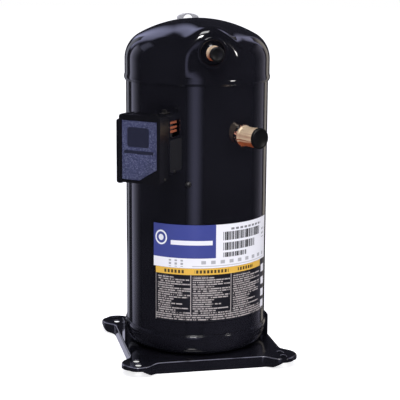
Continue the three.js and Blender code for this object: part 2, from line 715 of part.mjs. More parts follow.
// Ring with two keys down into the housing and two keys up into the orbiting scroll.
function oldhamRing() {
  const [low, high, keyAcross] = [276.5, 281.5, [-4, 4]];
  const lowerKey = block(keyRadii, keyAcross, [271.2, low + overlap]);
  const upperKey = block(keyAcross, keyRadii, [high - overlap, 287.2]);
  return union(ring(47, 56, low, high), lowerKey, spin(lowerKey, Math.PI), upperKey, spin(upperKey, Math.PI));
}

add("fixed_scroll", fixedScroll(), "castIron");
add("orbiting_scroll", orbitingScroll(), "castIron").position.x = throwRadius;
add("scroll_bush", ring(13.3, 15.1, 263, 281), "bronze").position.x = throwRadius;
add("oldham_ring", oldhamRing(), "aluminium").position.x = throwRadius / 2;

// ---- Main bearing housing ----

// Bearing hub, dished arm and rim with the thrust land, the Oldham ring's groove and four legs.
function mainHousing() {
  const [bore, hub, well, rim] = [17.5, 30, 31, 72];
  const [hubLow, hubTop, grooveZ] = [222, 257.5, 275.5];
  const [grooveInner, grooveOuter] = [42, 62];
  const cup = turned([
    [bore, hubLow], [hub - 4, hubLow], [hub, hubLow + 4], [hub, 248], [60, 258], [rim, 262],
    [rim, thrustZ], [grooveOuter, thrustZ], [grooveOuter, grooveZ], [grooveInner, grooveZ],
    [grooveInner, thrustZ], [well, thrustZ], [well, hubTop], [bore, hubTop],
  ]);
  const legAcross = [-15, 15];
  const leg = union(
    block(legAcross, [-95, -62], [262.5, 282.5]),
    block(legAcross, [-95, -75.5], [240, 296.7]),
  );
  const bounds = disc(fitRadius, 230, 300, shellSides);
  const keyway = block([40, 64], keywayAcross, [269.8, 280]);
  const legged = legAzimuths.reduce((body, azimuth) =>
    body.add(spin(leg, azimuth).intersect(bounds)).subtract(boltHole(azimuth)), cup);
  return legged.subtract(keyway).subtract(spin(keyway, Math.PI));
}

// Shouldered bolt: its shank guides a lug of the fixed scroll, its head leaves room for the lift.
function scrollBolt() {
  const [low, headLow, headTop, headRadius] = [258, lugTopZ + 1.4, 316, 7];
  return disc(boltRadius, low, headLow + overlap, 12).add(disc(headRadius, headLow, headTop, 6));
}

add("main_housing", mainHousing(), "castIron");
add("main_bush", ring(15.4, 17.1, 224.5, 257.2), "bronze");
legAzimuths.forEach((azimuth, i) => {
  const bolt = add(`scroll_bolt_${i + 1}`, scrollBolt(), "steel");
  bolt.position.set(...polar(boltCircle, azimuth), 0);
});

// ---- Shaft ----

// Shaft with a collar under its eccentric pin and an oilway along the pin's line.
function crankshaft() {
  const [low, lowerJournalTop, journalLow, collarLow, collarTop] = [45.5, 62, 224, 257.8, 260.3];
  const [collarRadius, eccentricRadius, oilRadius] = [18.5, 8.5, 2.5];
  const shaft = turned([
    [0, low], [lowerJournal, low], [lowerJournal, lowerJournalTop], [shaftRadius, lowerJournalTop],
    [shaftRadius, journalLow], [journalRadius, journalLow], [journalRadius, collarLow],
    [collarRadius, collarLow], [collarRadius, collarTop], [0, collarTop],
  ]);
  const pin = disc(eccentricRadius, collarTop - gap, pinHeight).translate([throwRadius, 0, 0]);
  const oilway = disc(oilRadius, low - 5, pinHeight + 5, 8).translate([throwRadius, 0, 0]);
  return shaft.add(pin).subtract(oilway);
}

// Half ring between two radii, on the side that an azimuth names.
function halfRing(inner, outer, bottom, top, azimuth) {
  const outline = new THREE.Shape();
  outline.absarc(0, 0, outer, Math.PI, 2 * Math.PI, false);
  outline.absarc(0, 0, inner, 2 * Math.PI, Math.PI, true);
  outline.closePath();
  return spin(prism(outline, bottom, top, 9), azimuth);
}

// Tapered tube that dips into the oil, with an inlet at its tip.
function oilPickup() {
  const [tip, shoulder, top] = [16, 24, 45.2];
  const [inlet, tipRadius, bore, outer] = [1.8, 3, 3.5, 5.5];
  return turned([
    [inlet, tip], [tipRadius, tip], [outer, shoulder], [outer, top], [bore, top], [bore, shoulder + 1],
  ], 12);
}

add("crankshaft", crankshaft(), "steel");
add("drive_bushing", ring(8.8, 13, 262.8, 280.5), "steel").position.x = throwRadius;
const weightRadii = [17, 37.5];
add("rotor", ring(shaftRadius + gap, rotorRadius, ...rotorZ), "lamination");
add("upper_counterweight", halfRing(...weightRadii, rotorZ[1] + gap, 202, -Math.PI / 2), "castIron");
add("lower_counterweight", halfRing(...weightRadii, 82, rotorZ[0] - gap, Math.PI / 2), "castIron");
add("oil_pickup", oilPickup(), "steel");

// ---- Motor ----

// Round lamination stack with four flats that let oil run back to the sump.
function statorCore() {
  const flat = block([-40, 40], [-95, -85.5], [statorZ[0] - 1, statorZ[1] + 1]);
  const core = ring(statorBore, fitRadius, ...statorZ, shellSides);
  return [0, 90, 180, 270].reduce((body, angle) => body.subtract(spin(flat, (angle + 45) * deg)), core);
}

// Bundle of end turns, fuller at the middle of its height.
function windingEnd(bottom, top) {
  const [inner, outer, belly] = [46, 78, 80];
  return turned([
    [inner, bottom], [outer, bottom], [belly, (bottom + top) / 2], [outer - 3, top], [inner + 5, top],
    [inner, top - 6],
  ]);
}

add("stator_core", statorCore(), "lamination");
add("upper_winding", windingEnd(statorZ[1] + gap, 212), "winding");
add("lower_winding", windingEnd(-statorZ[0] + gap, -72).mirror([0, 0, 1]), "winding");
add("motor_protector", spin(block([-9, 9], [-70, -56], [212.3, 221]), 140 * deg), "steel");

// ---- Lower bearing ----

// Hub with a floor under the thrust washer, on three arms with feet against the shell.
function lowerBracket() {
  const [hole, bore, outer, low, floor, top] = [7, 15, 24, 41, 43.3, 60];
  const hub = turned([[hole, low], [outer, low], [outer, top], [bore, top], [bore, floor], [hole, floor]]);
  const arm = union(block([-9, 9], [-95, -22], [48, 56]), block([-14, 14], [-95, -83], [44, 64]));
  const bounds = disc(fitRadius, 40, 70, shellSides);
  return [30, 150, 270].reduce((body, angle) => body.add(spin(arm, angle * deg).intersect(bounds)), hub);
}

add("lower_bracket", lowerBracket(), "steel");
add("lower_bush", ring(lowerJournal + gap, 14.7, 46, 59.7), "bronze");
add("thrust_washer", ring(6.5, 14.6, 43.6, 45.2), "bronze");
add("sump_magnet", disc(9, 6.3, 10.3, 20).translate([35, 0, 0]), "lamination");

export default compressor;
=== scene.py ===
import json
import math
from itertools import product
from random import Random

import bpy
import numpy as np
from mathutils import Matrix, Vector


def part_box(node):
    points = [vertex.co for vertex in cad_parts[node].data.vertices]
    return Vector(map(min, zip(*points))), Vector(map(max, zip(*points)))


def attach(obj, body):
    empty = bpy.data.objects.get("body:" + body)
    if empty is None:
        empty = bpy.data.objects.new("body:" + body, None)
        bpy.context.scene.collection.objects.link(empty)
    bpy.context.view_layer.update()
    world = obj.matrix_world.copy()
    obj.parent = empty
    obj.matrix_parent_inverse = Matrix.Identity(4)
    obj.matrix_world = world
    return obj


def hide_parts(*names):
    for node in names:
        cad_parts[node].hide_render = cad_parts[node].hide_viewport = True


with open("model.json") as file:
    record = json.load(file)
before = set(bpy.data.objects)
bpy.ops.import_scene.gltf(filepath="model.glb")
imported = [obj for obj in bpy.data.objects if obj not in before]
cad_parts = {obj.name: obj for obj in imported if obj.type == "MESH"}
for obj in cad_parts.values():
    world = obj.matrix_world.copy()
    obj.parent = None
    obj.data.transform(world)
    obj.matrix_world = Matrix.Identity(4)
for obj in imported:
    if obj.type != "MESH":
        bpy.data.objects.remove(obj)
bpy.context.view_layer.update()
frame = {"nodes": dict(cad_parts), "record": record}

mm = 0.001
deg = math.pi / 180


# Reaching and moving meshes

def pick(obj):
    bpy.ops.object.select_all(action="DESELECT")
    obj.select_set(True)
    bpy.context.view_layer.objects.active = obj


def edit(obj):
    pick(obj)
    bpy.ops.object.mode_set(mode="EDIT")


def leave():
    bpy.ops.object.mode_set(mode="OBJECT")


def outwards():  # from edit mode, turns every face out and leaves
    bpy.ops.mesh.select_all(action="SELECT")
    bpy.ops.mesh.normals_make_consistent(inside=False)
    leave()


def chooseEdges(obj, test):  # from edit mode, selects the edges whose ends pass the test
    bpy.ops.mesh.select_mode(type="EDGE")
    bpy.ops.mesh.select_all(action="DESELECT")
    leave()
    for line in obj.data.edges:
        line.select = test(*[obj.data.vertices[i].co for i in line.vertices])
    bpy.ops.object.mode_set(mode="EDIT")


def applied(obj, kind, **settings):  # adds a modifier and applies it
    modifier = obj.modifiers.new(kind.title(), kind)
    for name, value in settings.items():
        setattr(modifier, name, value)
    pick(obj)
    bpy.ops.object.modifier_apply(modifier=modifier.name)


def smooth(obj, angle=40):
    pick(obj)
    bpy.ops.object.shade_smooth_by_angle(angle=angle * deg)


def softEdges(obj, width, segments=3, angle=30):  # rounds what is sharp and keeps flats flat
    pick(obj)
    bpy.ops.object.shade_smooth()
    applied(obj, "BEVEL", width=width, segments=segments, limit_method="ANGLE", angle_limit=angle * deg,
            harden_normals=True)


def cut(obj, *tools):
    for tool in tools:
        applied(obj, "BOOLEAN", object=tool, operation="DIFFERENCE", solver="EXACT")
        bpy.data.objects.remove(tool)


def joined(first, *others):
    pick(first)
    for other in others:
        other.select_set(True)
    bpy.ops.object.join()
    return first


def moved(obj, matrix):
    obj.data.transform(matrix)
    obj.data.update()
    return obj


def laidOut(obj, height, azimuth):  # what stands along Z is laid to point out of the shell
    return moved(obj, Matrix.Rotation(azimuth, 4, "Z") @ Matrix.Translation((0, 0, height))
                 @ Matrix.Rotation(math.pi / 2, 4, "X"))


def turnedTo(obj, azimuth):
    return moved(obj, Matrix.Rotation(azimuth, 4, "Z"))


def piece(obj, name, body, slotName, material, *nodes):
    obj.name = name
    obj.data.name = name
    obj.data.materials.clear()
    obj.data.materials.append(material)
    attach(obj, body)
    if nodes:
        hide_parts(*nodes)
    return obj


# Starting shapes

def added(kind, **settings):  # a primitive, with nothing else selected
    bpy.ops.object.select_all(action="DESELECT")
    getattr(bpy.ops.mesh, "primitive_" + kind + "_add")(**settings)
    return bpy.context.object


def block(low, high):
    size = [b - a for a, b in zip(low, high)]
    middle = [(a + b) / 2 for a, b in zip(low, high)]
    return moved(added("cube", size=1), Matrix.Translation(middle) @ Matrix.Diagonal((*size, 1)))


def rod(radius, low, high, sides=48):
    cylinder = added("cylinder", vertices=sides, radius=radius, depth=high - low)
    return moved(cylinder, Matrix.Translation((0, 0, (low + high) / 2)))


def turned(profile, steps=96, closed=False):  # radius and height pairs, drawn as a line and spun about Z
    obj = added("plane", size=mm)
    edit(obj)
    bpy.ops.mesh.select_mode(type="VERT")
    bpy.ops.mesh.merge(type="CENTER")
    bpy.ops.transform.translate(value=(profile[0][0], 0, profile[0][1]))
    route = list(profile) + ([profile[0]] if closed else [])
    for (r0, z0), (r1, z1) in zip(route, route[1:]):
        bpy.ops.mesh.extrude_region_move(TRANSFORM_OT_translate={"value": (r1 - r0, 0, z1 - z0)})
    bpy.ops.mesh.select_all(action="SELECT")
    bpy.ops.mesh.spin(steps=steps, angle=2 * math.pi, center=(0, 0, 0), axis=(0, 0, 1))
    bpy.ops.mesh.select_all(action="SELECT")
    bpy.ops.mesh.remove_doubles(threshold=1e-6)
    outwards()
    return obj


def sheetOf(outline, height):  # a flat face with that outline
    obj = added("circle", vertices=len(outline), radius=1, fill_type="NGON")
    for vertex, (x, y) in zip(obj.data.vertices, outline):
        vertex.co = (x, y, height)
    edit(obj)
    outwards()
    return obj


def raised(outline, low, high):  # a prism of that outline
    obj = sheetOf(outline, low)
    edit(obj)
    bpy.ops.mesh.select_all(action="SELECT")
    bpy.ops.mesh.extrude_region_move(TRANSFORM_OT_translate={"value": (0, 0, high - low)})
    outwards()
    return obj


def arc(centre, radius, start, end, steps):
    angles = [start + (end - start) * i / steps for i in range(steps + 1)]
    return [(centre[0] + radius * math.cos(a), centre[1] + radius * math.sin(a)) for a in angles]


def bezier(a, b, c, d, steps):
    a, b, c, d = (Vector(p) for p in (a, b, c, d))
    parts = [i / steps for i in range(1, steps + 1)]
    return [a * (1 - t) ** 3 + b * 3 * t * (1 - t) ** 2 + c * 3 * t * t * (1 - t) + d * t ** 3
            for t in parts]


def offsets(pairs, radius, height):  # profile points, in millimetres from a corner
    return [(radius + out * mm, height + up * mm) for out, up in pairs]


def roundedBox(low, high, radius, steps=6):  # outline with round corners
    (x0, y0), (x1, y1), r = low, high, radius
    corners = [((x1 - r, y0 + r), -90), ((x1 - r, y1 - r), 0),
               ((x0 + r, y1 - r), 90), ((x0 + r, y0 + r), 180)]
    return [p for centre, start in corners for p in arc(centre, r, start * deg, (start + 90) * deg, steps)]


def refined(node, width, segments=2):  # a CAD node's shape with its edges rounded
    obj = frame["nodes"][node].copy()
    obj.data = frame["nodes"][node].data.copy()
    bpy.context.collection.objects.link(obj)
    obj.parent = None
    obj.matrix_world = Matrix.Identity(4)
    edit(obj)
    bpy.ops.mesh.select_all(action="SELECT")
    bpy.ops.mesh.remove_doubles(threshold=1e-6)
    bpy.ops.mesh.dissolve_limited(angle_limit=2 * deg)
    leave()
    softEdges(obj, width, segments)
    return obj


# Shader wires

class Wire:
    def __init__(self, tree, socket=None):
        self.tree = tree
        self.socket = socket

    def node(self, kind, settings=None, inputs=None, output=0):
        made = self.tree.nodes.new("ShaderNode" + kind)
        for name, value in (settings or {}).items():
            setattr(made, name, value)
        for key, value in (inputs or {}).items():
            if isinstance(value, Wire):
                self.tree.links.new(value.socket, made.inputs[key])
            else:
                made.inputs[key].default_value = value
        return Wire(self.tree, made.outputs[output])

    def math(self, operation, *others):
        return self.node("Math", {"operation": operation}, dict(enumerate((self, *others))))

    def __add__(self, other):
        return self.math("ADD", other)

    def __sub__(self, other):
        return self.math("SUBTRACT", other)

    def __mul__(self, other):
        return self.math("MULTIPLY", other)

    def __truediv__(self, other):
        return self.math("DIVIDE", other)

    def __rsub__(self, other):
        return self.math("MULTIPLY_ADD", -1, other)

    __radd__ = __add__
    __rmul__ = __mul__

    def between(self, low, high):  # 1 inside a band, 0 outside
        return self.math("GREATER_THAN", low) * self.math("LESS_THAN", high)

    def ramp(self, low, high):  # 0 below, 1 above, smooth between
        return self.node("MapRange", {"interpolation_type": "SMOOTHSTEP"},
                         {"Value": self, "From Min": low, "From Max": high})

    def either(self, other):
        return self.math("MAXIMUM", other)

    def mix(self, first, second):  # colours, by this as the factor
        return self.node("Mix", {"data_type": "RGBA"}, {0: self, 6: color(first), 7: color(second)}, 2)

    def noise(self, scale, detail=3, roughness=0.5):
        return self.node("TexNoise", inputs={"Vector": self, "Scale": scale, "Detail": detail,
                                             "Roughness": roughness})

    def stretched(self, x, y, z):
        return self.node("Mapping", inputs={"Vector": self, "Scale": (x, y, z)})

    def axes(self):
        return [self.node("SeparateXYZ", inputs={"Vector": self}, output=i) for i in range(3)]


def color(value):
    if isinstance(value, Wire):
        return value
    linear = [v / 12.92 if v <= 0.04045 else ((v + 0.055) / 1.055) ** 2.4 for v in value]
    return (*linear, 1)


def finish(name, paint, **fixed):  # paint gives what varies, from the object's own coordinates
    material = bpy.data.materials.new(name)
    material.use_nodes = True
    tree = material.node_tree
    shader = tree.nodes["Principled BSDF"]
    for socket, value in fixed.items():
        shader.inputs[socket.replace("_", " ")].default_value = value
    place = Wire(tree).node("TexCoord", output="Object")
    for socket, value in paint(place).items():
        if socket == "Bump":
            value = place.node("Bump", inputs=dict(zip(("Height", "Strength", "Distance"), value)))
            socket = "Normal"
        tree.links.new(value.socket, shader.inputs[socket])
    return material


enamelLook = {
    "deep": (0.07, 0.07, 0.09), "worn": (0.10, 0.10, 0.125), "patch": 7,
    "peel": 260, "peelStrength": 0.012, "scuff": 60,
    "dust": 420, "dustTone": (0.32, 0.32, 0.34), "dustShare": 0.12,
    "roughness": 0.07, "patchRoughness": 0.07, "dustRoughness": 0.12, "scuffRoughness": 0.03,
}


def enamelPaint(place):
    look = enamelLook
    patches = place.noise(look["patch"], 4)
    peel = place.noise(look["peel"], 1)
    dust = place.noise(look["dust"], 2).ramp(0.72, 0.82)
    scuffs = place.stretched(1, 1, 0.25).noise(look["scuff"], 5, 0.7).ramp(0.62, 0.8)
    tone = patches.ramp(0.35, 0.7).mix(look["deep"], look["worn"])
    roughness = look["roughness"] + patches * look["patchRoughness"] + dust * look["dustRoughness"]
    return {
        "Base Color": (dust * look["dustShare"]).mix(tone, look["dustTone"]),
        "Roughness": roughness + scuffs * look["scuffRoughness"],
        "Bump": (peel, look["peelStrength"], 0.0004),
    }


fittingLook = {"speck": 420, "speckTone": (0.95, 0.66, 0.56)}


def fittingPaint(place):  # black paint with specks of braze showing
    look = fittingLook
    base = enamelPaint(place)
    specks = place.noise(look["speck"], 3, 0.7).ramp(0.61, 0.66)
    base["Base Color"] = specks.mix(base["Base Color"], look["speckTone"])
    return base


# height band, patch size, share and tone of the painted highlight along the folds
foldHighlightLook = {"low": 1.1, "high": 1.8, "patch": 40, "share": 0.6, "tone": (0.60, 0.60, 0.66)}


def platePaint(place):  # black paint with a painted highlight in patches along the fold line
    look = foldHighlightLook
    base = enamelPaint(place)
    fold = (place.axes()[2] * 1000).between(look["low"], look["high"])
    # painted highlight: a pale band just under the top edge of the folds, broken into patches
    foldHighlight = fold * place.noise(look["patch"], 2).ramp(0.3, 0.5)
    base["Base Color"] = (foldHighlight * look["share"]).mix(base["Base Color"], look["tone"])
    return base


# pale is the painted highlight tone for the upper side; the streak strength sets the painted glints in it
copperLook = {
    "deep": (0.68, 0.34, 0.20), "pale": (1.0, 0.89, 0.75), "stain": (0.80, 0.50, 0.38), "stainShare": 0.35,
    "tubeHeight": 0.2887, "tubeSide": (0.891, 0.454), "drawnStreaksAndGlints": 3.6,
}


def copperPaint(place):  # drawn tube with a painted highlight: paler where it faces up, as if lit from above, broken by painted glint streaks
    look = copperLook
    paintedTopLight = place.node("NewGeometry", output="Normal").axes()[2]
    across, along, up = place.axes()
    beside = across * look["tubeSide"][0] + along * look["tubeSide"][1]
    bearing = (up - look["tubeHeight"]).math("ARCTAN2", beside)
    drawnStreaksAndGlints = place.node("CombineXYZ", inputs={0: bearing * 5, 1: along * 9}).noise(1.5, 4, 0.65)
    # painted highlight: the upward-facing side is mixed towards the pale tone, with painted glint streaks
    pale = (paintedTopLight + (drawnStreaksAndGlints - 0.5) * look["drawnStreaksAndGlints"]).ramp(-0.6, 0.5)
    stain = place.noise(180, 4, 0.6).ramp(0.55, 0.75) * look["stainShare"]
    return {
        "Base Color": stain.mix(pale.mix(look["deep"], look["pale"]), look["stain"]),
        "Roughness": 0.2 + drawnStreaksAndGlints * 0.2,
        "Bump": (drawnStreaksAndGlints, 0.08, 0.0003),
    }


panelLook = {
    "cells": 900, "specks": 620, "shade": 26, "dark": (0.14, 0.16, 0.30), "light": (0.19, 0.21, 0.36),
    "speckTone": (0.47, 0.49, 0.62), "speckShare": 0.7,
}


def panelPaint(place):  # grained moulding with pale specks
    look = panelLook
    cells = place.node("TexVoronoi", inputs={"Vector": place, "Scale": look["cells"]})
    specks = place.noise(look["specks"], 5, 0.85).ramp(0.50, 0.60)
    tone = place.noise(look["shade"], 3).ramp(0.3, 0.7).mix(look["dark"], look["light"])
    return {
        "Base Color": (specks * look["speckShare"]).mix(tone, look["speckTone"]),
        "Roughness": 0.42 + cells * 0.3,
        "Bump": (cells, 0.6, 0.0003),
    }


windingLook = {"waves": 1500, "slant": 0.6, "dark": (0.42, 0.20, 0.10), "light": (0.74, 0.42, 0.22)}


def windingPaint(place):  # varnished wire, wound round the ring
    look = windingLook
    across, along, up = place.axes()
    reach = (across * across + along * along).math("SQRT")
    turns = ((reach + up * look["slant"]) * look["waves"]).math("SINE") * 0.5 + 0.5
    return {
        "Base Color": turns.mix(look["dark"], look["light"]),
        "Roughness": 0.25 + turns * 0.2,
        "Bump": (turns, 0.8, 0.0006),
    }


laminationLook = {"waves": 6000, "dark": (0.36, 0.37, 0.40), "light": (0.58, 0.59, 0.61)}


def laminationPaint(place):  # thin sheets, one on another
    look = laminationLook
    sheets = (place.axes()[2] * look["waves"]).math("SINE") * 0.5 + 0.5
    return {
        "Base Color": sheets.mix(look["dark"], look["light"]),
        "Roughness": 0.32 + place.noise(300, 3) * 0.25,
        "Bump": (sheets, 0.6, 0.0003),
    }


plainLooks = {  # tone and grain: noise settings; rough: least and spread
    "zincPlate": {
        "metal": 0.35, "tones": ((0.96, 0.96, 0.97), (0.88, 0.89, 0.92)), "tone": (90, 4),
        "edges": (0.3, 0.7), "grain": (300, 3), "stretch": 8, "rough": (0.18, 0.2), "bump": 0.15},
    "copperBar": {
        "metal": 0.5, "tones": ((0.80, 0.42, 0.28), (0.90, 0.56, 0.42)),
        "grain": (400, 3), "rough": (0.3, 0.2), "bump": 0.1},
    "softRubber": {
        "tones": ((0.035, 0.035, 0.04), (0.07, 0.07, 0.075)), "tone": (40, 3),
        "grain": (900, 3), "rough": (0.3, 0.2), "bump": 0.15},
    "mouldedCover": {
        "tones": ((0.05, 0.05, 0.065), (0.08, 0.08, 0.10)), "tone": (35, 4),
        "grain": (1400, 2), "rough": (0.15, 0.14), "bump": 0.2},
    "darkPad": {
        "tones": ((0.10, 0.11, 0.19), (0.14, 0.15, 0.25)),
        "grain": (1100, 3), "rough": (0.3, 0.25), "bump": 0.3},
    "sidePatch": {
        "tones": ((0.10, 0.10, 0.12), (0.15, 0.15, 0.17)),
        "grain": (900, 3), "rough": (0.45, 0.2), "bump": 0.25},
    "greyInsulator": {
        "tones": ((0.33, 0.34, 0.36), (0.42, 0.42, 0.43)), "tone": (60, 4),
        "grain": (800, 3), "rough": (0.5, 0.2), "bump": 0.2},
    "machinedIron": {
        "metal": 0.9, "tones": ((0.36, 0.36, 0.37), (0.50, 0.49, 0.48)), "tone": (30, 4),
        "grain": (520, 5, 0.65), "rough": (0.38, 0.3), "bump": 0.35, "depth": 0.0004},
    "turnedSteel": {
        "metal": 1, "tones": ((0.62, 0.63, 0.65), (0.74, 0.75, 0.76)), "tone": (30, 3),
        "grain": (120, 4), "stretch": 22, "rough": (0.2, 0.25), "bump": 0.12},
    "sinteredAluminium": {
        "metal": 1, "tones": ((0.78, 0.79, 0.80), (0.86, 0.86, 0.87)), "tone": (50, 3),
        "grain": (700, 4), "rough": (0.32, 0.2), "bump": 0.15},
    "bearingBronze": {
        "metal": 1, "tones": ((0.72, 0.58, 0.36), (0.80, 0.66, 0.44)), "tone": (60, 3),
        "grain": (140, 4), "stretch": 18, "rough": (0.22, 0.2), "bump": 0.12},
}
plainLooks["springSteel"] = {**plainLooks["machinedIron"], "metal": 1}


def plainFinish(name):  # two tones and one grain
    look = plainLooks[name]

    def paint(place):
        stretched = place.stretched(1, 1, look["stretch"]) if "stretch" in look else place
        grain = stretched.noise(*look["grain"])
        shade = place.noise(*look["tone"]) if "tone" in look else grain
        if "edges" in look:
            shade = shade.ramp(*look["edges"])
        least, spread = look["rough"]
        return {
            "Base Color": shade.mix(*look["tones"]),
            "Roughness": least + grain * spread,
            "Bump": (grain, look["bump"], look.get("depth", 0.0002)),
        }

    return finish(name, paint, Metallic=look.get("metal", 0))


# Printed labels, in millimetres along the shell from its front, to the right, and up

labelLook = {
    "radius": 93.5, "fieldEnd": 6.5, "fieldLow": 134.1,
    "white": (0.93, 0.93, 0.95), "field": (0.235, 0.275, 0.575), "ink": (0.06, 0.06, 0.08), "inkShare": 0.95,
    "ringAt": (-65.5, 159.5), "ringRadius": 9.5, "ringWall": 2.2, "ringHeart": 0.42, "ringNarrow": 1.25,
    "bar": ((-52, 2), (151.2, 157)),
    "strokeRows": [((16, 80), (156.5, 167.5)), ((16, 68), (143.5, 153.5)), ((16, 52), (134.5, 140.6))],
    "strokeRate": 0.6, "strokeLevel": 0.47,
    "marks": [  # area, strength, then rate and level of its breaks along and up
        (((26, 84), (169.5, 172.2)), 0.8, (0.9, -0.5), None),
        (((86, 95), (150, 163)), 0.8, (1.3, 0.2), (1.1, 0.1)),
        (((-14, 92), (126.5, 131)), 0.5, (0.5, 0.1), None),
        (((-56, -34), (122.8, 132)), 0.6, (0.8, 0.3), (1.4, -0.4)),
        (((-24, 94), (123.2, 124.4)), 0.36, None, None),
    ],
}


def roundTheShell(place):
    across, along, up = place.axes()
    return across.math("ARCTAN2", along * -1) * labelLook["radius"], up * 1000


def area(u, v, reach):
    return u.between(*reach[0]) * v.between(*reach[1])


def broken(value, rate, level):  # evenly spaced marks
    return (value * rate).math("SINE").math("GREATER_THAN", level)


def lineAt(value, spot, half):
    return (value - spot).math("ABSOLUTE").math("LESS_THAN", half)


def anyOf(masks):
    first, *others = masks
    for mask in others:
        first = first.either(mask)
    return first


def printed(place, tone, roughness):
    return {
        "Base Color": tone,
        "Roughness": roughness + place.noise(30, 3) * 0.16,
        "Bump": (place.noise(160, 2), 0.05, 0.0003),
    }


def nameLabelPaint(place):
    look = labelLook
    u, v = roundTheShell(place)
    onField = u.math("LESS_THAN", look["fieldEnd"]) * v.math("GREATER_THAN", look["fieldLow"])
    fromRingU, fromRingV = u - look["ringAt"][0], v - look["ringAt"][1]
    away = (fromRingU * fromRingU * look["ringNarrow"] + fromRingV * fromRingV).math("SQRT")
    ring = away.between(look["ringRadius"] - look["ringWall"], look["ringRadius"])
    heart = away.math("LESS_THAN", look["ringRadius"] * look["ringHeart"])
    signs = onField * anyOf([ring, heart, area(u, v, look["bar"])])
    strokes = place.node("CombineXYZ", inputs={0: u * look["strokeRate"]}).noise(1, 2, 0.7)
    rows = anyOf([area(u, v, row) for row in look["strokeRows"]])
    inks = [rows * strokes.math("GREATER_THAN", look["strokeLevel"])]
    for reach, strength, along, upwards in look["marks"]:
        mark = area(u, v, reach)
        if along:
            mark = mark * broken(u, *along)
        if upwards:
            mark = mark * broken(v, *upwards)
        inks.append(mark * strength)
    ink = anyOf(inks) * (1 - onField)
    ground = signs.mix(onField.mix(look["white"], look["field"]), look["white"])
    return printed(place, (ink * look["inkShare"]).mix(ground, look["ink"]), 0.24)


cautionLook = {
    "ground": (0.10, 0.10, 0.13), "dash": (0.72, 0.69, 0.68), "band": (0.90, 0.71, 0.26),
    "bandLow": 112.5, "bandEnd": 84, "bandInk": (0.10, 0.09, 0.08), "bandShare": 0.92,
    "words": [(-62, -34), (-21, 24), (38, 66)], "wordHeights": (114.6, 118.8), "wordBreaks": (1.35, -0.35),
    "rowPitch": 2.9, "rowInk": (0.22, 0.74), "dashRate": 0.62, "dashLevel": 0.44, "ragged": 30,
    "columns": [(-70, -26), (-23, 26.5), (31, 82)], "columnHeights": (60, 111),
    "footer": ((-74, 93), (51.5, 60)),
    "rules": (-25.6, 27.8), "ruleHalf": 0.45, "ruleLow": 58, "edge": -73.2, "edgeHalf": 0.5, "edgeShare": 0.7,
    "sideAt": (87.5, 97), "sideRows": [(103, 113), (86, 96), (70, 80), (55, 65)],
}


def cautionLabelPaint(place):
    look = cautionLook
    u, v = roundTheShell(place)
    band = v.math("GREATER_THAN", look["bandLow"]) * u.math("LESS_THAN", look["bandEnd"])
    words = broken(u, *look["wordBreaks"]) * v.between(*look["wordHeights"])
    bandInk = band * (anyOf([u.between(*word) for word in look["words"]]) * words) * look["bandShare"]
    row = (v / look["rowPitch"]).math("FLOOR")
    inRow = (v / look["rowPitch"] - row).between(*look["rowInk"])
    dashes = place.node("CombineXYZ", inputs={0: u * look["dashRate"], 1: row * 7.3}).noise(1, 2, 0.6)
    end = place.node("CombineXYZ", inputs={1: row * 3.7}).noise(1, 0).ramp(0.42, 0.62) * look["ragged"]
    columns = anyOf([u.math("GREATER_THAN", low) * (high - end - u).math("GREATER_THAN", 0)
                     for low, high in look["columns"]])
    text = (columns * v.between(*look["columnHeights"])).either(area(u, v, look["footer"]))
    rules = anyOf([lineAt(u, spot, look["ruleHalf"]) for spot in look["rules"]])
    edge = lineAt(u, look["edge"], look["edgeHalf"]) * (1 - band) * look["edgeShare"]
    ink = anyOf([text * inRow * dashes.math("GREATER_THAN", look["dashLevel"]),
                 rules * v.between(look["ruleLow"], look["bandLow"]), edge])
    tone = band.mix(ink.mix(look["ground"], look["dash"]), look["band"])
    tone = bandInk.mix(tone, look["bandInk"])
    white = anyOf([area(u, v, (look["sideAt"], heights)) for heights in look["sideRows"]])
    return printed(place, white.mix(tone, labelLook["white"]), 0.26)


glossy = {"IOR": 1.5, "Coat_Weight": 0.5, "Coat_Roughness": 0.03}
film = {"Coat_Weight": 0.3, "Coat_Roughness": 0.1}
enamel = finish("glossyEnamel", enamelPaint, **glossy)
plateEnamel = finish("foldHighlightEnamel", platePaint, **glossy)
fitting = finish("brazedFitting", fittingPaint, Specular_IOR_Level=0.25)
copper = finish("cleanCopper", copperPaint, Metallic=0.35)
strapCopper = plainFinish("copperBar")
plated = plainFinish("zincPlate")
rubber = plainFinish("softRubber")
plastic = plainFinish("mouldedCover")
panelFace = finish("speckledPanel", panelPaint)
darkPad = plainFinish("darkPad")
sidePatchFace = plainFinish("sidePatch")
insulator = plainFinish("greyInsulator")
darkSpring = plainFinish("springSteel")
steel = plainFinish("turnedSteel")
nameFilm = finish("printedName", nameLabelPaint, **film)
cautionFilm = finish("printedCaution", cautionLabelPaint, **film)
print("finishes mixed")

slotFinish = {
    "enamel": enamel, "plated": plated, "copper": copper, "rubber": rubber, "cover": plastic,
    "insulator": insulator, "label": nameFilm, "dark_label": cautionFilm, "steel": steel,
    "cast_iron": plainFinish("machinedIron"), "aluminium": plainFinish("sinteredAluminium"),
    "bronze": plainFinish("bearingBronze"), "winding": finish("varnishedWire", windingPaint, Metallic=0.6),
    "lamination": finish("stackedSheet", laminationPaint, Metallic=0.9),
}
for part in frame["record"]["subparts"]:
    mesh = frame["nodes"][part["node"]].data
    mesh.materials.clear()
    mesh.materials.append(slotFinish[part["material_slot"]])


# Camera, lights and floor

studio = {
    "eye": (-0.3327, -1.5923, 0.527), "azimuth": -11.8, "pitch": 11.683, "pan": 0.176, "roll": 0.384,
    "focal": 112.5, "sensor": 36,
}


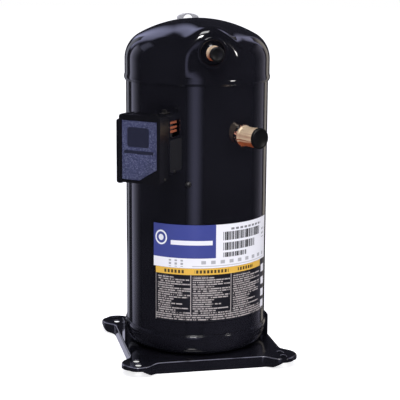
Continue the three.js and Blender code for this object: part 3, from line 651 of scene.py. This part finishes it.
def placeCamera():
    look = studio
    heading = (look["pan"] - look["azimuth"]) * deg
    forward = Vector((math.sin(heading), math.cos(heading), 0)) * math.cos(look["pitch"] * deg)
    forward.z = -math.sin(look["pitch"] * deg)
    level = forward.cross(Vector((0, 0, 1))).normalized()
    upright = level.cross(forward)
    tip = look["roll"] * deg
    right = level * math.cos(tip) + upright * math.sin(tip)
    up = upright * math.cos(tip) - level * math.sin(tip)
    data = bpy.data.cameras.new("camera")
    data.lens = look["focal"]
    data.sensor_width = look["sensor"]
    camera = bpy.data.objects.new("camera", data)
    bpy.context.collection.objects.link(camera)
    turn = Matrix((right, up, -forward)).transposed().to_4x4()
    camera.matrix_world = Matrix.Translation(look["eye"]) @ turn
    bpy.context.scene.camera = camera


# Degrees to the camera's right, distance, height, width, tall, brightness, tint, soft edge, lean
softboxes = {
    "leftRim": (-148, 1.6, 0.3, 0.36, 2.0, 0.42, (0.92, 0.93, 1), 0.1, 0),
    "leftWall": (-114, 1.6, 0.3, 0.85, 2.0, 1.15, (0.88, 0.88, 1), 0.03, -1),
    "rightRim": (146, 1.6, 0.3, 0.42, 2.0, 0.5, (1, 0.96, 0.92), 0.15, 0),
    "rightWall": (117, 1.6, 0.3, 1.0, 2.0, 0.5, (0.9, 0.88, 0.98), 0.05, 1),
    "leftCard": (-157, 1.6, -0.42, 0.3, 0.4, 0.7, (0.9, 0.9, 1), 0.1, 0),
    "frontStrip": (-2.5, 2.6, 0.5, 1.35, 2.6, 0.85, (0.82, 0.82, 1), 0.5, 0),
}
ceiling = {  # place, target, width, tall, brightness, tint, soft edge, lean
    "backLeft": ((-0.5, 1.5, 1.3), (0, 0, 0.42), 1.3, 1.5, 1.1, (0.82, 0.83, 1), 0.3, 0),
    "sideLeft": ((-1.3, 0.75, 1.3), (0, 0, 0.42), 0.8, 0.9, 0.5, (0.84, 0.85, 1), 0.35, 0),
    "backRight": ((1.2, 1.1, 1.25), (0, 0, 0.42), 0.9, 1.2, 1.1, (0.84, 0.84, 1), 0.35, 0),
    "overHood": ((-0.12, -0.5, 1.7), (0, 0, 0.4), 0.6, 0.6, 7, (1, 1, 1), 0.12, 0),
}
lamps = {  # place, target, width, tall, brightness, tint
    "key": ((-0.35, -1.2, 1.6), (0, 0, 0.35), 0.3, 0.25, 32, (1, 0.98, 0.96)),
    "stubLight": ((0.9, -0.9, 0.8), (0.03, -0.1, 0.3), 0.15, 0.15, 25, (1, 0.97, 0.94)),
}


def aimed(place, target):
    turn = (Vector(place) - Vector(target)).to_track_quat("Z", "Y")
    return Matrix.Translation(place) @ turn.to_matrix().to_4x4()


# A glowing sheet that fades at its edges
def softbox(name, place, target, width, tall, bright, tint, soft, lean):
    sheet = moved(added("plane", size=1), Matrix.Diagonal((width, tall, 1, 1)))
    sheet.name = name

    def glow(spot):
        across, along, _ = spot.axes()
        sides = (0.5 - (across / width).math("ABSOLUTE")).ramp(0, soft)
        ends = (0.5 - (along / tall).math("ABSOLUTE")).ramp(0, 0.2)
        slope = (across * (lean / width) + 0.5).math("POWER", 1.6 * abs(lean))
        return {"Emission Color": (sides * ends * slope).mix((0, 0, 0), tint)}

    black = (0, 0, 0, 1)
    sheet.data.materials.append(finish(name, glow, Base_Color=black, Roughness=1, Emission_Strength=bright))
    sheet.matrix_world = aimed(place, target)
    sheet.visible_camera = False


def lamp(name, place, target, width, tall, bright, tint):
    data = bpy.data.lights.new(name, "AREA")
    data.shape = "RECTANGLE"
    data.size = width
    data.size_y = tall
    data.energy = bright * math.pi * width * tall
    data.color = tint
    light = bpy.data.objects.new(name, data)
    bpy.context.collection.objects.link(light)
    light.matrix_world = aimed(place, target)
    light.visible_camera = False


def placeLights():
    for name, (around, distance, height, *size) in softboxes.items():
        azimuth = (studio["azimuth"] + around) * deg
        place = (math.sin(azimuth) * distance, -math.cos(azimuth) * distance, height)
        softbox(name, place, (0, 0, height), *size)
    for name, settings in ceiling.items():
        softbox(name, *settings)
    for name, settings in lamps.items():
        lamp(name, *settings)


def placeRoom():
    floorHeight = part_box("base_plate")[0][2]
    floor = added("circle", vertices=96, radius=9, fill_type="NGON")
    moved(floor, Matrix.Translation((0, 0, floorHeight - 0.1 * mm)))
    floor.name = "floor"
    floor.data.materials.append(finish("paleFloor", lambda place: {
        "Base Color": place.noise(3, 2).mix((0.93, 0.93, 0.93), (0.95, 0.95, 0.95)),
    }, Roughness=0.9, Emission_Color=(1, 1, 1, 1), Emission_Strength=0.75))
    floor.visible_glossy = False
    world = bpy.data.worlds.new("studio")
    world.use_nodes = True
    sky = world.node_tree.nodes["Background"]
    path = Wire(world.node_tree)
    seen = path.node("LightPath", output="Is Camera Ray")
    gloss = path.node("LightPath", output="Is Glossy Ray")
    around = gloss.mix((0.74, 0.74, 0.78), (0.15, 0.15, 0.18))
    world.node_tree.links.new(seen.mix(around, (1, 1, 1)).socket, sky.inputs["Color"])
    bpy.context.scene.world = world
    bpy.context.scene.view_settings.view_transform = "Standard"


placeCamera()
placeLights()
placeRoom()
print("camera, lights and floor set")


# Shell and caps

shellLow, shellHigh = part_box("shell")
capLow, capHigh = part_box("top_cap")
shellShape = {
    "radius": shellHigh[0], "low": shellLow[2], "high": shellHigh[2], "wall": 3.2 * mm,
    "suctionAzimuth": 27 * deg, "suctionHeight": 288.7 * mm, "suctionHole": 12.9 * mm,
    "boxAzimuth": -40 * deg, "terminalHeight": 302.5 * mm, "terminalHole": 15.9 * mm,
    "holeInner": 25 * mm, "holeOuter": 10 * mm,
}


def makeShell():
    look = shellShape
    inner = look["radius"] - look["wall"]
    shell = turned([(inner, look["low"]), (look["radius"], look["low"]), (look["radius"], look["high"]),
                    (inner, look["high"])], 192, closed=True)
    near, far = look["radius"] - look["holeInner"], look["radius"] + look["holeOuter"]
    cut(shell, laidOut(rod(look["suctionHole"], near, far), look["suctionHeight"], look["suctionAzimuth"]),
        laidOut(rod(look["terminalHole"], near, far), look["terminalHeight"], look["boxAzimuth"]))
    smooth(shell, 30)
    piece(shell, "rolledShell", "root", "enamel", enamel, "shell")


capShape = {
    "wall": 94.2 * mm, "skirt": capLow[2], "apex": capHigh[2], "crown": 154 * mm, "knuckle": 36.7 * mm,
    "thickness": 3.6 * mm, "steps": (14, 44, 56),
    "bead": [(93.7, 0), (94.6, 0.5), (94.9, 2), (94.9, 4.4), (94.6, 5.4), (94.2, 7)],
    "padFace": 91.5 * mm, "padRadius": 27 * mm, "padCentre": 397.1 * mm, "padLow": 371.5 * mm,
    "padCorner": 6 * mm, "padBack": 38 * mm, "blend": 18 * mm, "rim": 24.75 * mm, "cutRim": 13.5 * mm,
    "lens": (0, -0.03, 0.372), "rays": (0.3, 1.9), "halvings": 40, "gather": 0.6, "castFrom": 0.362,
}


def capArcs():  # centres of knee and crown, and the angle where they meet
    look = capShape
    kneeRadius = look["wall"] - look["knuckle"]
    reach = look["crown"] - look["knuckle"]
    bend = math.asin(kneeRadius / reach)
    crownZ = look["apex"] - look["crown"]
    return kneeRadius, crownZ + reach * math.cos(bend), crownZ, bend


def blended(a, b, reach):  # the lower of two distances, with a round hollow where they meet
    share = np.clip(0.5 + 0.5 * (b - a) / reach, 0, 1)
    return b + (a - b) * share - reach * share * (1 - share)


def capDistance(p):  # below 0 inside the cap with its discharge pad
    look = capShape
    x, y, z = p[:, 0], p[:, 1], p[:, 2]
    r = np.hypot(x, y)
    kneeRadius, kneeZ, crownZ, bend = capArcs()
    knee = np.hypot(r - kneeRadius, z - kneeZ) - look["knuckle"]
    crown = np.hypot(r, z - crownZ) - look["crown"]
    inCrown = np.arctan2(r, z - crownZ) < bend
    dome = np.where(z < kneeZ, r - look["wall"], np.where(inCrown, crown, knee))
    above = np.hypot(x, z - look["padCentre"]) - look["padRadius"]
    beside = np.where(z > look["padCentre"], above, np.abs(x) - look["padRadius"])
    beside = -blended(-beside, -(look["padLow"] - z), look["padCorner"])
    pad = -blended(-beside, -(-look["padFace"] - y), look["rim"])
    body = blended(dome, np.maximum(pad, y + look["padBack"]), look["blend"])
    ahead = -blended(-beside, -(y + look["padFace"]), look["cutRim"])
    return -blended(-body, ahead, look["cutRim"])


def domeProfile():
    look = capShape
    kneeRadius, kneeZ, crownZ, bend = capArcs()
    wallSteps, kneeSteps, crownSteps = look["steps"]
    points = offsets(look["bead"], 0, look["skirt"])
    foot = points[-1][1]
    points += [(look["wall"], foot + (kneeZ - foot) * i / wallSteps) for i in range(1, wallSteps + 1)]
    for i in range(1, kneeSteps + 1):
        angle = math.pi / 2 - (math.pi / 2 - bend) * i / kneeSteps
        points.append((kneeRadius + look["knuckle"] * math.sin(angle),
                       kneeZ + look["knuckle"] * math.cos(angle)))
    for i in range(1, crownSteps + 1):
        angle = bend * (1 - i / crownSteps)
        points.append((look["crown"] * math.sin(angle), crownZ + look["crown"] * math.cos(angle)))
    points[-1] = (0, look["apex"])
    return points


def makeTopCap():
    look = capShape
    cap = turned(domeProfile(), 288)
    points = np.array([vertex.co for vertex in cap.data.vertices])
    azimuth = np.arctan2(points[:, 0], -points[:, 1])
    azimuth -= look["gather"] * np.sin(azimuth)  # finer towards the discharge pad
    reach = np.hypot(points[:, 0], points[:, 1])
    points[:, 0], points[:, 1] = reach * np.sin(azimuth), -reach * np.cos(azimuth)
    lens = np.array(look["lens"])
    cast = points[:, 2] > look["castFrom"]
    way = points[cast] - lens
    low, high = (np.full(len(way), end) for end in look["rays"])
    for _ in range(look["halvings"]):
        middle = (low + high) / 2
        inside = capDistance(lens + way * middle[:, None]) < 0
        low, high = np.where(inside, middle, low), np.where(inside, high, middle)
    points[cast] = lens + way * low[:, None]
    for vertex, point in zip(cap.data.vertices, points):
        vertex.co = point
    cap.data.update()
    applied(cap, "SOLIDIFY", thickness=look["thickness"], offset=-1)
    smooth(cap, 50)
    piece(cap, "domedCap", "root", "enamel", enamel, "top_cap")


bowlShape = {
    "radius": 94.5 * mm, "foot": 80 * mm, "low": 2.6 * mm, "bulge": [(91, 6), (93.6, 16)], "mouth": 94 * mm,
    "collarLow": 24.5 * mm, "collarHigh": 31.1 * mm, "lip": [(0, -2.4), (-0.3, -1.2), (-1, -0.3)],
    "wall": 2.8 * mm, "floor": 3.2 * mm,
}


def makeBottomCap():
    look = bowlShape
    outer = bezier((look["foot"], look["low"]), *offsets(look["bulge"], 0, 0),
                   (look["mouth"], look["collarLow"]), 18)
    shoulder = look["collarLow"] + 1 * mm
    profile = [(0, look["low"]), (look["foot"], look["low"])] + [tuple(p) for p in outer]
    profile += [(look["radius"], shoulder)] + offsets(look["lip"], look["radius"], look["collarHigh"])
    profile += [(shellShape["radius"], look["collarHigh"]), (shellShape["radius"], shoulder)]
    profile += [(p.x - look["wall"], p.y + 1.2 * mm) for p in reversed(outer)]
    profile += [(0, look["low"] + look["floor"])]
    bowl = turned(profile, 192)
    smooth(bowl, 40)
    piece(bowl, "bottomBowl", "root", "enamel", enamel, "bottom_cap")


weldShape = {  # radius, height, size, seed
    "capWeld": (shellShape["radius"] + 0.2 * mm, capShape["skirt"] - 0.3 * mm, 1.2 * mm, 3),
    "bowlWeld": (shellShape["radius"] + 0.2 * mm, bowlShape["collarHigh"] + 0.2 * mm, 1.1 * mm, 5),
    "waves": ((160, 0.10), (23, 0.08)), "ripple": 0.8, "swayWaves": 7, "sway": 0.12 * mm,
}


def makeWeld(name):  # a rippled bead round the shell
    look = weldShape
    radius, height, size, seed = look[name]
    random = Random(seed)
    bead = added("torus", major_radius=radius, minor_radius=size, major_segments=480, minor_segments=10)
    moved(bead, Matrix.Translation((0, 0, height)))
    *phases, swayPhase = [random.uniform(0, 2 * math.pi) for _ in range(3)]
    for vertex in bead.data.vertices:
        angle = math.atan2(vertex.co.y, vertex.co.x)
        ripple = sum(math.sin(angle * count + phase) * strength
                     for (count, strength), phase in zip(look["waves"], phases))
        sway = math.sin(angle * look["swayWaves"] + swayPhase) * look["sway"]
        away = Vector((vertex.co.x, vertex.co.y, 0)).normalized()
        vertex.co += away * ripple * size * look["ripple"] + Vector((0, 0, sway))
    smooth(bead, 60)
    piece(bead, name, "root", "enamel", enamel)


makeShell()
makeTopCap()
makeBottomCap()
makeWeld("capWeld")
makeWeld("bowlWeld")
print("shell and caps made")


# Lifting lug

lugShape = {
    "half": 14.2 * mm, "thick": 6 * mm, "back": 62 * mm, "low": 412 * mm, "shoulder": 429 * mm,
    "pull": (7.81 * mm, 434.7 * mm), "eye": 424.6 * mm, "eyeRadius": 7 * mm,
}


def makeLug():
    look = lugShape
    half, shoulder, (pullOut, pullUp) = look["half"], look["shoulder"], look["pull"]
    crown = bezier((half, shoulder), (pullOut, pullUp), (-pullOut, pullUp), (-half, shoulder), 24)
    outline = [(-half, look["low"]), (half, look["low"]), (half, shoulder)] + [tuple(p) for p in crown]
    lug = raised(outline, -look["back"] - look["thick"] / 2, -look["back"] + look["thick"] / 2)
    cut(lug, moved(rod(look["eyeRadius"], -1, 1), Matrix.Translation((0, look["eye"], 0))))
    laidOut(lug, 0, 0)
    softEdges(lug, 0.7 * mm)
    piece(lug, "liftingEye", "root", "plated", plated, "lifting_lug")


makeLug()


# Base plate

plateShape = {
    "top": 2.2 * mm, "thick": 2.2 * mm, "half": 100 * mm, "foot": 115 * mm, "fold": 2.4 * mm,
    "flare": 64 * mm, "lobe": 95 * mm, "notch": 107.5 * mm, "spacing": 190.5 * mm,
    "pulls": (14 * mm, 20 * mm, 6 * mm, 3 * mm, 1 * mm),
    "skirt": [(66, -12.9), (80, -10.4), (92, -3.5)],
    "slotHalf": (4 * mm, 6.25 * mm), "slotPitch": 16 * mm,
}


def plateOutline():
    look = plateShape
    half, foot, flare, lobe, notch = (look[k] for k in ("half", "foot", "flare", "lobe", "notch"))
    flarePull, lobePull, tip, far, near = look["pulls"]
    side = [(-flare + 2 * flare * i / 16, -half) for i in range(17)]
    side += bezier((flare, -half), (flare + flarePull, -half), (lobe - lobePull, -foot), (lobe, -foot), 18)
    side += bezier((lobe, -foot), (lobe + tip, -foot), (notch - near, -notch - far), (notch, -notch), 8)
    side += bezier((notch, -notch), (notch + far, near - notch), (foot, -lobe - tip), (foot, -lobe), 8)
    side += bezier((foot, -lobe), (foot, lobePull - lobe), (half, -flare - flarePull), (half, -flare), 18)
    side.pop()
    turns = [Matrix.Rotation(quarter * math.pi / 2, 2) for quarter in range(4)]
    return [tuple(turn @ Vector(tuple(p))) for turn in turns for p in side]


def skirtBottom(x, y):  # the skirts hang low along the sides and rise to the feet
    places, depths = zip(*plateShape["skirt"])
    return float(np.interp(min(abs(x), abs(y)) / mm, places, depths)) * mm


def makePlate():
    look = plateShape
    plate = sheetOf(plateOutline(), look["top"])
    edit(plate)
    bpy.ops.mesh.select_mode(type="EDGE")
    bpy.ops.mesh.select_all(action="SELECT")
    bpy.ops.mesh.extrude_edges_move(TRANSFORM_OT_translate={"value": (0, 0, -look["thick"])})
    leave()
    for vertex in plate.data.vertices:
        if vertex.co.z < look["top"] - 1e-6:
            vertex.co.z = skirtBottom(vertex.co.x, vertex.co.y)
    edit(plate)
    chooseEdges(plate, lambda a, b: min(a.z, b.z) > look["top"] - 1e-6)
    bpy.ops.mesh.bevel(offset=look["fold"], segments=5, affect="EDGES")
    outwards()
    applied(plate, "SOLIDIFY", thickness=look["thick"], offset=-1, use_even_offset=True)
    halfWide, halfLong = look["slotHalf"]
    for x, y, step in product((-0.5, 0.5), repeat=3):
        across, along = x * look["spacing"], y * look["spacing"] + step * look["slotPitch"]
        low, high = (across - halfWide, along - halfLong), (across + halfWide, along + halfLong)
        cut(plate, raised(roundedBox(low, high, halfWide - 1e-6, 8), -10 * mm, 10 * mm))
    smooth(plate, 35)
    piece(plate, "footedPlate", "root", "enamel", plateEnamel, "base_plate")


tabShape = {
    "near": 95 * mm, "far": 98.4 * mm, "half": 11 * mm, "low": 1.4 * mm, "high": 31.1 * mm, "corner": 3 * mm,
    "sides": {"rightTab": 90 * deg, "leftTab": 270 * deg},
}


def makeTabs():
    look = tabShape
    outline = roundedBox((-look["half"], look["low"]), (look["half"], look["high"]), look["corner"])
    for name, azimuth in look["sides"].items():
        tab = laidOut(raised(outline, look["near"], look["far"]), 0, azimuth)
        softEdges(tab, 0.6 * mm)
        piece(tab, name, "root", "enamel", enamel)


makePlate()
makeTabs()
print("base made")


# Discharge and suction stubs

dischargeShape = {
    "height": 393.6 * mm, "azimuth": 0, "radius": 8.6 * mm, "start": 84 * mm, "end": 116 * mm,
    "wall": 1.2 * mm, "flange": 9.2 * mm, "flangeThick": 3.2 * mm, "lip": 98 * mm,
}
suctionShape = {
    "height": 288.7 * mm, "azimuth": 27 * deg, "radius": 12.5 * mm, "start": 86 * mm, "end": 122 * mm,
    "wall": 1.2 * mm, "flange": 13.2 * mm, "flangeThick": 4.2 * mm, "lip": 95 * mm,
}
pipeShape = {
    "slim": 0.25 * mm, "mouth": (9 * mm, 7.5 * mm),
    "lip": [(-0.25, 0), (0.7, 0.2), (0.9, 1.2), (0.5, 2.4), (-0.25, 3.4)],
}


def makePipe(look, name, node):  # copper tube with a slight swell at its mouth
    outer, inner, end = look["radius"], look["radius"] - look["wall"], look["end"]
    slim, (swellStart, swellEnd) = outer - pipeShape["slim"], pipeShape["mouth"]
    profile = [(inner, look["start"]), (slim, look["start"])] + offsets(pipeShape["lip"], outer, look["lip"])
    profile += [(slim, end - swellStart), (outer, end - swellEnd), (outer, end), (inner, end)]
    pipe = turned(profile, 72, closed=True)
    softEdges(pipe, 0.35 * mm)
    laidOut(pipe, look["height"], look["azimuth"])
    piece(pipe, name, "root", "copper", copper, node)


plugShape = {
    "fit": 0.3 * mm, "tip": [(-1, -10.3), (-0.4, -9)], "ribs": (-8, -5.4, -2.8),
    "rib": [(-0.4, 0), (0, 0.6), (-0.4, 1.4)],
    "flange": [(0, -1.4), (-0.4, -0.5), (-1.4, 0), (-2.6, 0), (-3.2, -0.5)],
}


def makePlug(look, name, body, node):  # rubber plug with a domed flange and a ribbed spigot
    shape = plugShape
    spigot = look["radius"] - look["wall"] - shape["fit"]
    seat = look["end"] + shape["fit"]
    face = seat + look["flangeThick"]
    profile = [(0, seat - 10.3 * mm)] + offsets(shape["tip"], spigot, seat)
    for low in shape["ribs"]:
        profile += offsets(shape["rib"], spigot, seat + low * mm)
    profile += offsets([(-0.4, 0)], spigot, seat) + offsets([(-0.4, 0), (0, 0.4)], look["flange"], seat)
    profile += offsets(shape["flange"], look["flange"], face) + [(0, face - 0.6 * mm)]
    plug = turned(profile, 72)
    smooth(plug, 50)
    laidOut(plug, look["height"], look["azimuth"])
    piece(plug, name, body, "rubber", rubber, node)


ringShape = {
    "ring": [(15.5, 91.8), (19.6, 91.8), (19.6, 93.6), (18.8, 94.4), (15.5, 94.4)],
    "fillet": [(-0.3, 90.8), (2.6, 90.8), (2.2, 92.4), (0.8, 93.2), (-0.3, 94.2)],
}


def makeDischargeRing():
    ring = turned(offsets(ringShape["ring"], 0, 0), closed=True)
    softEdges(ring, 0.5 * mm, 4)
    laidOut(ring, dischargeShape["height"], 0)
    piece(ring, "dischargeRing", "root", "enamel", enamel, "discharge_ferrule")
    fillet = turned(offsets(ringShape["fillet"], dischargeShape["radius"], 0), closed=True)
    smooth(fillet, 60)
    laidOut(fillet, dischargeShape["height"], 0)
    piece(fillet, "dischargeBraze", "root", "enamel", enamel)


collarShape = [(12.6, 84), (15, 84), (14.8, 91), (14, 93.4), (13.4, 94.4), (12.6, 94.8)]


def makeSuctionCollar():
    collar = turned(offsets(collarShape, 0, 0), closed=True)
    softEdges(collar, 0.4 * mm)
    laidOut(collar, suctionShape["height"], suctionShape["azimuth"])
    cut(collar, rod(shellShape["radius"], 200 * mm, 400 * mm, 192))
    smooth(collar, 50)
    piece(collar, "suctionCollar", "root", "enamel", fitting, "suction_collar")


makePipe(dischargeShape, "dischargePipe", "discharge_stub")
makePlug(dischargeShape, "dischargePlug", "discharge_cap", "discharge_plug")
makeDischargeRing()
makePipe(suctionShape, "suctionPipe", "suction_stub")
makePlug(suctionShape, "suctionPlug", "suction_cap", "suction_plug")
makeSuctionCollar()
print("stubs made")


# Terminal box

boxAzimuth = shellShape["boxAzimuth"]
fenceShape = {
    "half": 27.5 * mm, "low": 245 * mm, "high": 320.5 * mm, "near": 78 * mm, "far": 123.1 * mm,
    "wall": 1.5 * mm, "corner": 3 * mm,
}
windowShape = ((22.5 * mm, -119.5 * mm, 292.6 * mm), (28.5 * mm, -94.5 * mm, 312.7 * mm))


def tunnel(half, low, high, near, far, wall, corner):  # box open at both ends
    outside = raised(roundedBox((-half, low), (half, high), corner, 5), near, far)
    inner = roundedBox((wall - half, low + wall), (half - wall, high - wall), max(corner - wall, 0.5 * mm), 5)
    cut(outside, raised(inner, near - 10 * mm, far + 10 * mm))
    return laidOut(outside, 0, 0)


def makeFence():
    fence = tunnel(**fenceShape)
    cut(fence, rod(shellShape["radius"] + 0.1 * mm, 200 * mm, 400 * mm, 192), block(*windowShape))
    softEdges(fence, 0.6 * mm)
    turnedTo(fence, boxAzimuth)
    piece(fence, "terminalFence", "root", "enamel", enamel, "terminal_fence")


coverShape = {
    "half": 29 * mm, "low": 237 * mm, "high": 321.5 * mm, "back": 125.2 * mm, "front": 147.4 * mm,
    "wall": 2 * mm, "corners": (3.5 * mm, 2 * mm), "recess": 1.4 * mm,
    "rail": ((-36.5 * mm, -143 * mm, 234 * mm), (-28 * mm, -129 * mm, 314 * mm)),
    "rib": ((-20 * mm, -143.4 * mm, 321 * mm), (-18.6 * mm, -127.2 * mm, 322.4 * mm)),
    "ribPitch": 9 * mm, "ribs": 5,
    "panel": [(-25.2, 240.4), (-0.6, 240.4), (24.4, 255.5), (24.4, 314.5), (-25.2, 314.5)],
    "pads": {"coverPad": ((-17, 282), (13, 306), 3, 1.0), "coverBar": ((-22, 273.6), (19.5, 277.4), 1, 0.9)},
}


lipShape = {
    "half": 25.2 * mm, "low": 247.3 * mm, "high": 318.2 * mm, "near": 116 * mm, "far": 145.8 * mm,
    "wall": 1.6 * mm, "corner": 2 * mm,
}


def panelOutline(grow=0):
    points = [Vector(p) * mm for p in coverShape["panel"]]
    centre = sum(points, Vector((0, 0))) / len(points)
    return [tuple(p + (p - centre).normalized() * grow) for p in points]


def makeCover():
    look = coverShape
    half, low, high, wall = (look[k] for k in ("half", "low", "high", "wall"))
    outerCorner, innerCorner = look["corners"]
    cover = raised(roundedBox((-half, low), (half, high), outerCorner, 5), look["back"], look["front"])
    inside = raised(roundedBox((wall - half, low + wall), (half - wall, high - wall), innerCorner, 4),
                    look["back"] - 5 * mm, look["front"] - wall)
    cut(cover, inside, raised(panelOutline(), look["front"] - look["recess"], look["front"] + 5 * mm))
    laidOut(cover, 0, 0)
    lip = tunnel(**lipShape)
    softEdges(cover, 0.9 * mm)
    softEdges(lip, 0.3 * mm, 2)
    rail = block(*look["rail"])
    softEdges(rail, 3 * mm, 5)
    ribs = []
    for i in range(look["ribs"]):
        ribs.append(moved(block(*look["rib"]), Matrix.Translation((look["ribPitch"] * i, 0, 0))))
        softEdges(ribs[-1], 0.5 * mm, 2)
    turnedTo(joined(cover, lip, rail, *ribs), boxAzimuth)
    piece(cover, "terminalCover", "cover", "cover", plastic, "terminal_cover")


def makeCoverFace():
    look = coverShape
    floor = look["front"] - look["recess"]
    face = raised(panelOutline(-0.6 * mm), floor - 0.2 * mm, floor + 0.5 * mm)
    softEdges(face, 0.3 * mm, 2)
    turnedTo(laidOut(face, 0, 0), boxAzimuth)
    piece(face, "coverPanel", "cover", "cover", panelFace)
    for name, (low, high, corner, thick) in look["pads"].items():
        outline = roundedBox([v * mm for v in low], [v * mm for v in high], corner * mm, 5)
        pad = raised(outline, floor, floor + thick * mm)
        softEdges(pad, 0.4 * mm)
        turnedTo(laidOut(pad, 0, 0), boxAzimuth)
        piece(pad, name, "cover", "cover", darkPad)


gasketShape = {
    "half": 27.8 * mm, "low": 243.5 * mm, "high": 320.5 * mm, "near": 123.4 * mm, "far": 124.9 * mm,
    "wall": 2.2 * mm, "corner": 3 * mm,
}


def makeGasket():
    gasket = tunnel(**gasketShape)
    softEdges(gasket, 0.4 * mm, 2)
    turnedTo(gasket, boxAzimuth)
    piece(gasket, "coverGasket", "root", "rubber", rubber, "cover_gasket")


patchShape = {"low": (91.5 * mm, 249 * mm), "high": (120 * mm, 289 * mm), "corner": 2 * mm, "thick": 0.7 * mm}


def makeSidePatch():
    look = patchShape
    patch = raised(roundedBox(look["low"], look["high"], look["corner"], 4), 0, look["thick"])
    stoodUp = Matrix(((0, 0, 1), (-1, 0, 0), (0, 1, 0))).to_4x4()
    moved(patch, Matrix.Translation((fenceShape["half"] - 0.1 * mm, 0, 0)) @ stoodUp)
    softEdges(patch, 0.25 * mm, 2)
    turnedTo(patch, boxAzimuth)
    piece(patch, "fencePatch", "root", "enamel", sidePatchFace)


screwShape = {"washer": 1.12, "washerThick": 0.5 * mm, "head": 0.95,
              "crown": [(0, 0.5), (0.72, 0.5), (0.72, 0.95), (0.5, 1.12), (0, 1.18)]}
screws = {  # body, reach, place, turn on its face, azimuth, nodes
    "earthScrew": ("root", 3.6 * mm, (0, -shellShape["radius"] - 0.2 * mm, 229 * mm), 0, -18 * deg,
                   "ground_screw"),
    "fenceScrew": ("root", 1.9 * mm, (fenceShape["half"], -110 * mm, 248.8 * mm), 90 * deg, boxAzimuth),
    "coverScrew": ("cover", 1.7 * mm, (coverShape["half"], -136 * mm, 243 * mm), 90 * deg, boxAzimuth),
}


def makeScrew(name, body, reach, place, turn, azimuth, *nodes):  # washer-faced hexagon head on a plane
    look = screwShape
    washer = rod(reach * look["washer"], 0, look["washerThick"], 32)
    head = rod(reach, 0.4 * mm, reach * look["head"], 6)
    crown = turned([(reach * r, reach * z) for r, z in look["crown"]], 24)
    softEdges(washer, 0.12 * mm, 2)
    softEdges(head, reach * 0.1)
    smooth(crown, 50)
    screw = moved(joined(washer, head, crown), Matrix.Rotation(math.pi / 2, 4, "X"))
    moved(screw, Matrix.Translation(place) @ Matrix.Rotation(turn, 4, "Z"))
    piece(turnedTo(screw, azimuth), name, body, "plated", darkSpring, *nodes)


boxDetails = {  # node, slot, material, edge width and segments
    **{"copperStrap" + n: ("terminal_strap_" + n, "copper", strapCopper, 0.3 * mm) for n in "123"},
    **{"terminalPin" + n: ("terminal_pin_" + n, "steel", steel, 0.25 * mm) for n in "123"},
    "terminalBlock": ("terminal_block", "insulator", insulator, 1 * mm, 3),
    "terminalCup": ("terminal_cup", "steel", steel, 0.5 * mm),
    "springClip": ("cover_clip", "plated", darkSpring, 0.25 * mm),
}


makeFence()
makeCover()
makeCoverFace()
makeGasket()
makeSidePatch()
for name, (node, slotName, material, *rounding) in boxDetails.items():
    piece(refined(node, *rounding), name, "root", slotName, material, node)
for name, settings in screws.items():
    makeScrew(name, *settings)
print("terminal box made")


# Labels

labelShape = {  # node, slot, material, azimuths of its ends
    "nameFilm": ("name_label", "label", nameFilm, -47, 61),
    "cautionFilm": ("caution_label", "dark_label", cautionFilm, -45, 61),
}


def makeLabel(name, node, slotName, material, start, end):  # film wrapped round the shell
    (_, _, low), (_, _, high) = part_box(node)
    radius = labelLook["radius"] * mm
    label = added("grid", x_subdivisions=72, y_subdivisions=8, size=1)
    for vertex in label.data.vertices:
        azimuth = (start + (end - start) * (vertex.co.x + 0.5)) * deg
        height = low + (high - low) * (vertex.co.y + 0.5)
        vertex.co = (radius * math.sin(azimuth), -radius * math.cos(azimuth), height)
    label.data.update()
    applied(label, "SOLIDIFY", thickness=0.45 * mm, offset=-1)
    smooth(label, 30)
    piece(label, name, "root", slotName, material, node)


for name, settings in labelShape.items():
    makeLabel(name, *settings)
print("labels made")
